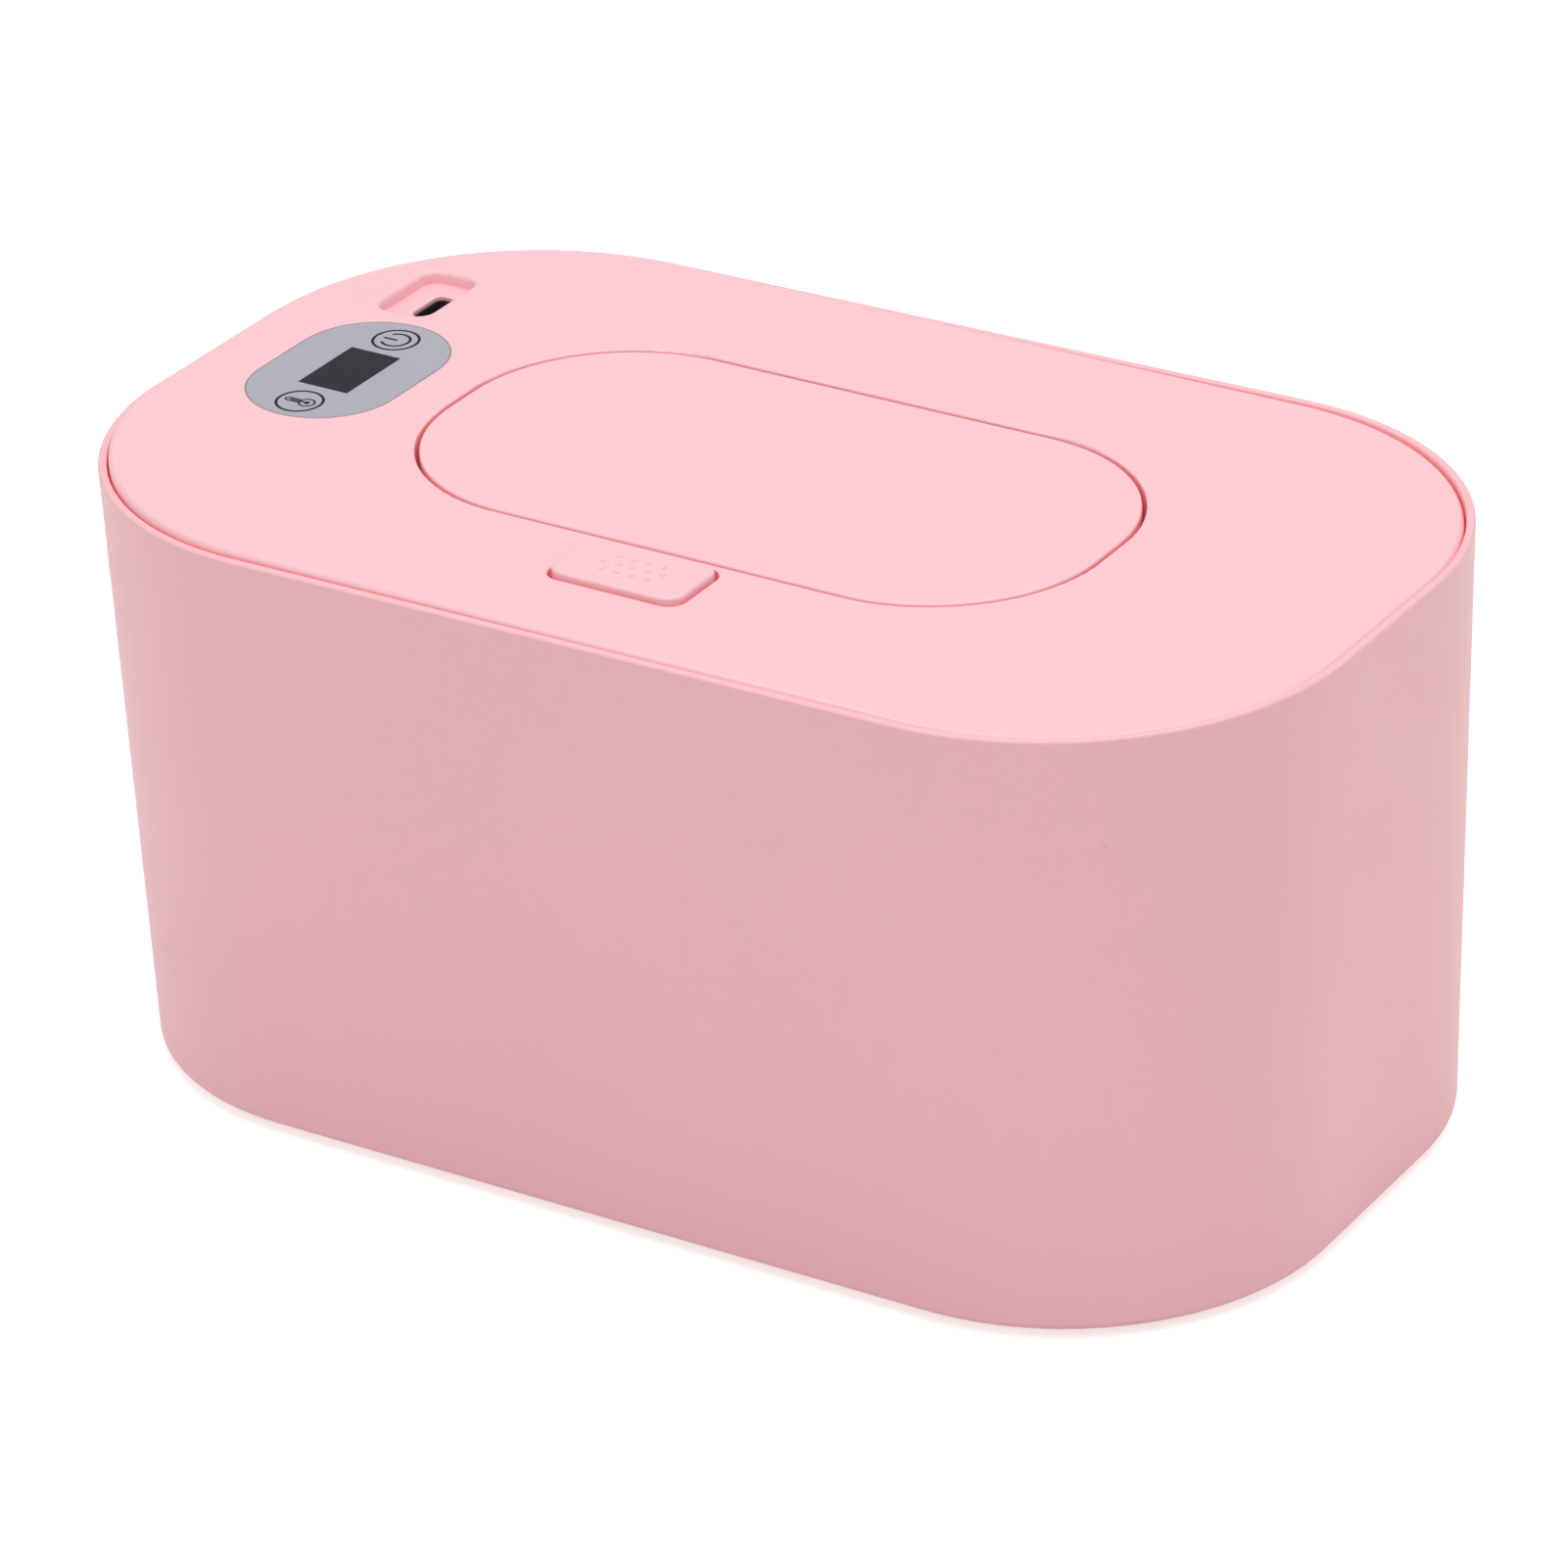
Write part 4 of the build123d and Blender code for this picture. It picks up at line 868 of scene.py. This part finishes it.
class WARMER_OT_carried_parts(bpy.types.Operator):
    """Give each part that keeps its own shape the finish of its material"""

    bl_idname = "warmer.carried_parts"
    bl_label = "Finish the carried parts"

    def execute(self, context):
        for part in frame["record"]["subparts"]:
            chosen = "tub_plastic" if part["node"] == "tub" else part["material_slot"]
            for holder in frame["nodes"][part["node"]].material_slots:
                holder.material = finish(chosen)
        return {"FINISHED"}


def white_floor():
    """Material that is plain white to the camera and in reflections, and keeps the shadow."""
    material = bpy.data.materials.new("studio_floor")
    material.use_nodes = True
    nodes, links = material.node_tree.nodes, material.node_tree.links
    nodes.clear()
    matt = nodes.new("ShaderNodeBsdfDiffuse")
    matt.inputs["Color"].default_value = (FLOOR_GREY, FLOOR_GREY, FLOOR_GREY, 1.0)
    ray = nodes.new("ShaderNodeLightPath")
    seen = ray.outputs["Is Camera Ray"]
    for kind in ("Is Glossy Ray", "Is Transmission Ray"):
        either = nodes.new("ShaderNodeMath")
        either.operation = "MAXIMUM"
        links.new(seen, either.inputs[0])
        links.new(ray.outputs[kind], either.inputs[1])
        seen = either.outputs[0]
    power = nodes.new("ShaderNodeMath")
    power.operation = "MULTIPLY"
    power.inputs[1].default_value = FLOOR_GLOW
    links.new(seen, power.inputs[0])
    glow = nodes.new("ShaderNodeEmission")
    glow.inputs["Color"].default_value = (1.0, 1.0, 1.0, 1.0)
    links.new(power.outputs[0], glow.inputs["Strength"])
    total = nodes.new("ShaderNodeAddShader")
    links.new(matt.outputs[0], total.inputs[0])
    links.new(glow.outputs[0], total.inputs[1])
    output = nodes.new("ShaderNodeOutputMaterial")
    links.new(total.outputs[0], output.inputs["Surface"])
    return material


def white_world():
    """Even pale surroundings that the camera sees as white."""
    world = bpy.context.scene.world or bpy.data.worlds.new("studio")
    bpy.context.scene.world = world
    world.use_nodes = True
    nodes, links = world.node_tree.nodes, world.node_tree.links
    nodes.clear()
    ray = nodes.new("ShaderNodeLightPath")
    power = nodes.new("ShaderNodeMapRange")
    power.inputs["To Min"].default_value = WORLD_LIGHT
    power.inputs["To Max"].default_value = 1.0
    links.new(ray.outputs["Is Camera Ray"], power.inputs["Value"])
    glow = nodes.new("ShaderNodeBackground")
    glow.inputs["Color"].default_value = (1.0, 1.0, 1.0, 1.0)
    links.new(power.outputs["Result"], glow.inputs["Strength"])
    output = nodes.new("ShaderNodeOutputWorld")
    links.new(glow.outputs[0], output.inputs["Surface"])


def soft_lamp(name, place, aim, size, power):
    """A rectangular studio lamp at a place, turned to a point."""
    bpy.ops.object.light_add(type="AREA", location=place)
    lamp = bpy.context.object
    lamp.name = name
    lamp.data.shape = "RECTANGLE"
    lamp.data.size, lamp.data.size_y = size
    lamp.data.energy = power
    lamp.rotation_mode = "QUATERNION"
    lamp.rotation_quaternion = (Vector(aim) - Vector(place)).to_track_quat("-Z", "Y")


def studio_camera(settings):
    """A camera at its distance and angle from the target."""
    turn, rise, roll = settings.azimuth, settings.elevation, settings.roll
    back = Vector((
        math.sin(turn) * math.cos(rise), -math.cos(turn) * math.cos(rise), math.sin(rise)
    ))
    across = (-back).cross(Vector((0.0, 0.0, 1.0))).normalized()
    upward = across.cross(-back)
    right = across * math.cos(roll) + upward * math.sin(roll)
    top = upward * math.cos(roll) - across * math.sin(roll)
    target = Vector((settings.target_x, settings.target_y, settings.target_z))
    bpy.ops.object.camera_add()
    camera = bpy.context.object
    camera.name = "studio_camera"
    camera.data.lens = settings.focal
    camera.data.sensor_width = SENSOR_WIDTH
    camera.data.clip_start, camera.data.clip_end = CLIP_RANGE
    axes = Matrix((right, top, back)).transposed().to_4x4()
    camera.matrix_world = Matrix.Translation(target + back * settings.distance) @ axes
    return camera


class WARMER_OT_stage(bpy.types.Operator):
    """Set up the camera, the soft lamps, the pale surroundings and the floor"""

    bl_idname = "warmer.stage"
    bl_label = "Set up the stage"

    def execute(self, context):
        settings = context.scene.warmer_stage
        let_go()
        context.scene.camera = studio_camera(settings)
        let_go()
        bpy.ops.mesh.primitive_plane_add(size=2.0 * settings.floor_radius)
        floor = bpy.context.object
        floor.name = "studio_floor"
        floor.data.materials.append(white_floor())
        let_go()
        for lamp in LAMPS:
            soft_lamp(*lamp)
        white_world()
        context.scene.view_settings.view_transform = "Standard"
        return {"FINISHED"}


class WARMER_PT_sidebar(bpy.types.Panel):
    """Sidebar list of the warmer's pieces and settings"""

    bl_idname = "WARMER_PT_sidebar"
    bl_label = "Wipe warmer"
    bl_space_type = "VIEW_3D"
    bl_region_type = "UI"
    bl_category = "Wipe Warmer"

    def draw(self, context):
        for operator in OPERATORS:
            self.layout.operator(operator.bl_idname)
        for holder in SETTINGS:
            group = getattr(context.scene, holder)
            for item in group.bl_rna.properties:
                if item.identifier not in ("rna_type", "name"):
                    self.layout.prop(group, item.identifier)


SETTINGS = {
    "warmer_colours": WarmerColours,
    "warmer_cover": CoverSizes,
    "warmer_panel": PanelSizes,
    "warmer_seals": SealSizes,
    "warmer_stage": StageSettings,
}
OPERATORS = (
    WARMER_OT_stage,
    WARMER_OT_carried_parts,
    WARMER_OT_panel_print,
    WARMER_OT_wipe_outlet,
    WARMER_OT_lid_seal,
    WARMER_OT_cover_seal,
    WARMER_OT_feet,
)
CLASSES = (*SETTINGS.values(), *OPERATORS, WARMER_PT_sidebar)


def register():
    """Makes the settings, operators and sidebar known to Blender."""
    for item in CLASSES:
        bpy.utils.register_class(item)
    for holder, group in SETTINGS.items():
        setattr(bpy.types.Scene, holder, PointerProperty(type=group))


def unregister():
    """Takes the settings, operators and sidebar away again."""
    for holder in SETTINGS:
        delattr(bpy.types.Scene, holder)
    for item in reversed(CLASSES):
        bpy.utils.unregister_class(item)


def main():
    """Builds the whole warmer on its stage."""
    register()
    bpy.ops.warmer.stage()
    bpy.ops.warmer.carried_parts()
    bpy.ops.warmer.panel_print()
    bpy.ops.warmer.wipe_outlet()
    bpy.ops.warmer.lid_seal()
    bpy.ops.warmer.cover_seal()
    bpy.ops.warmer.feet()


if __name__ == "__main__":
    main()
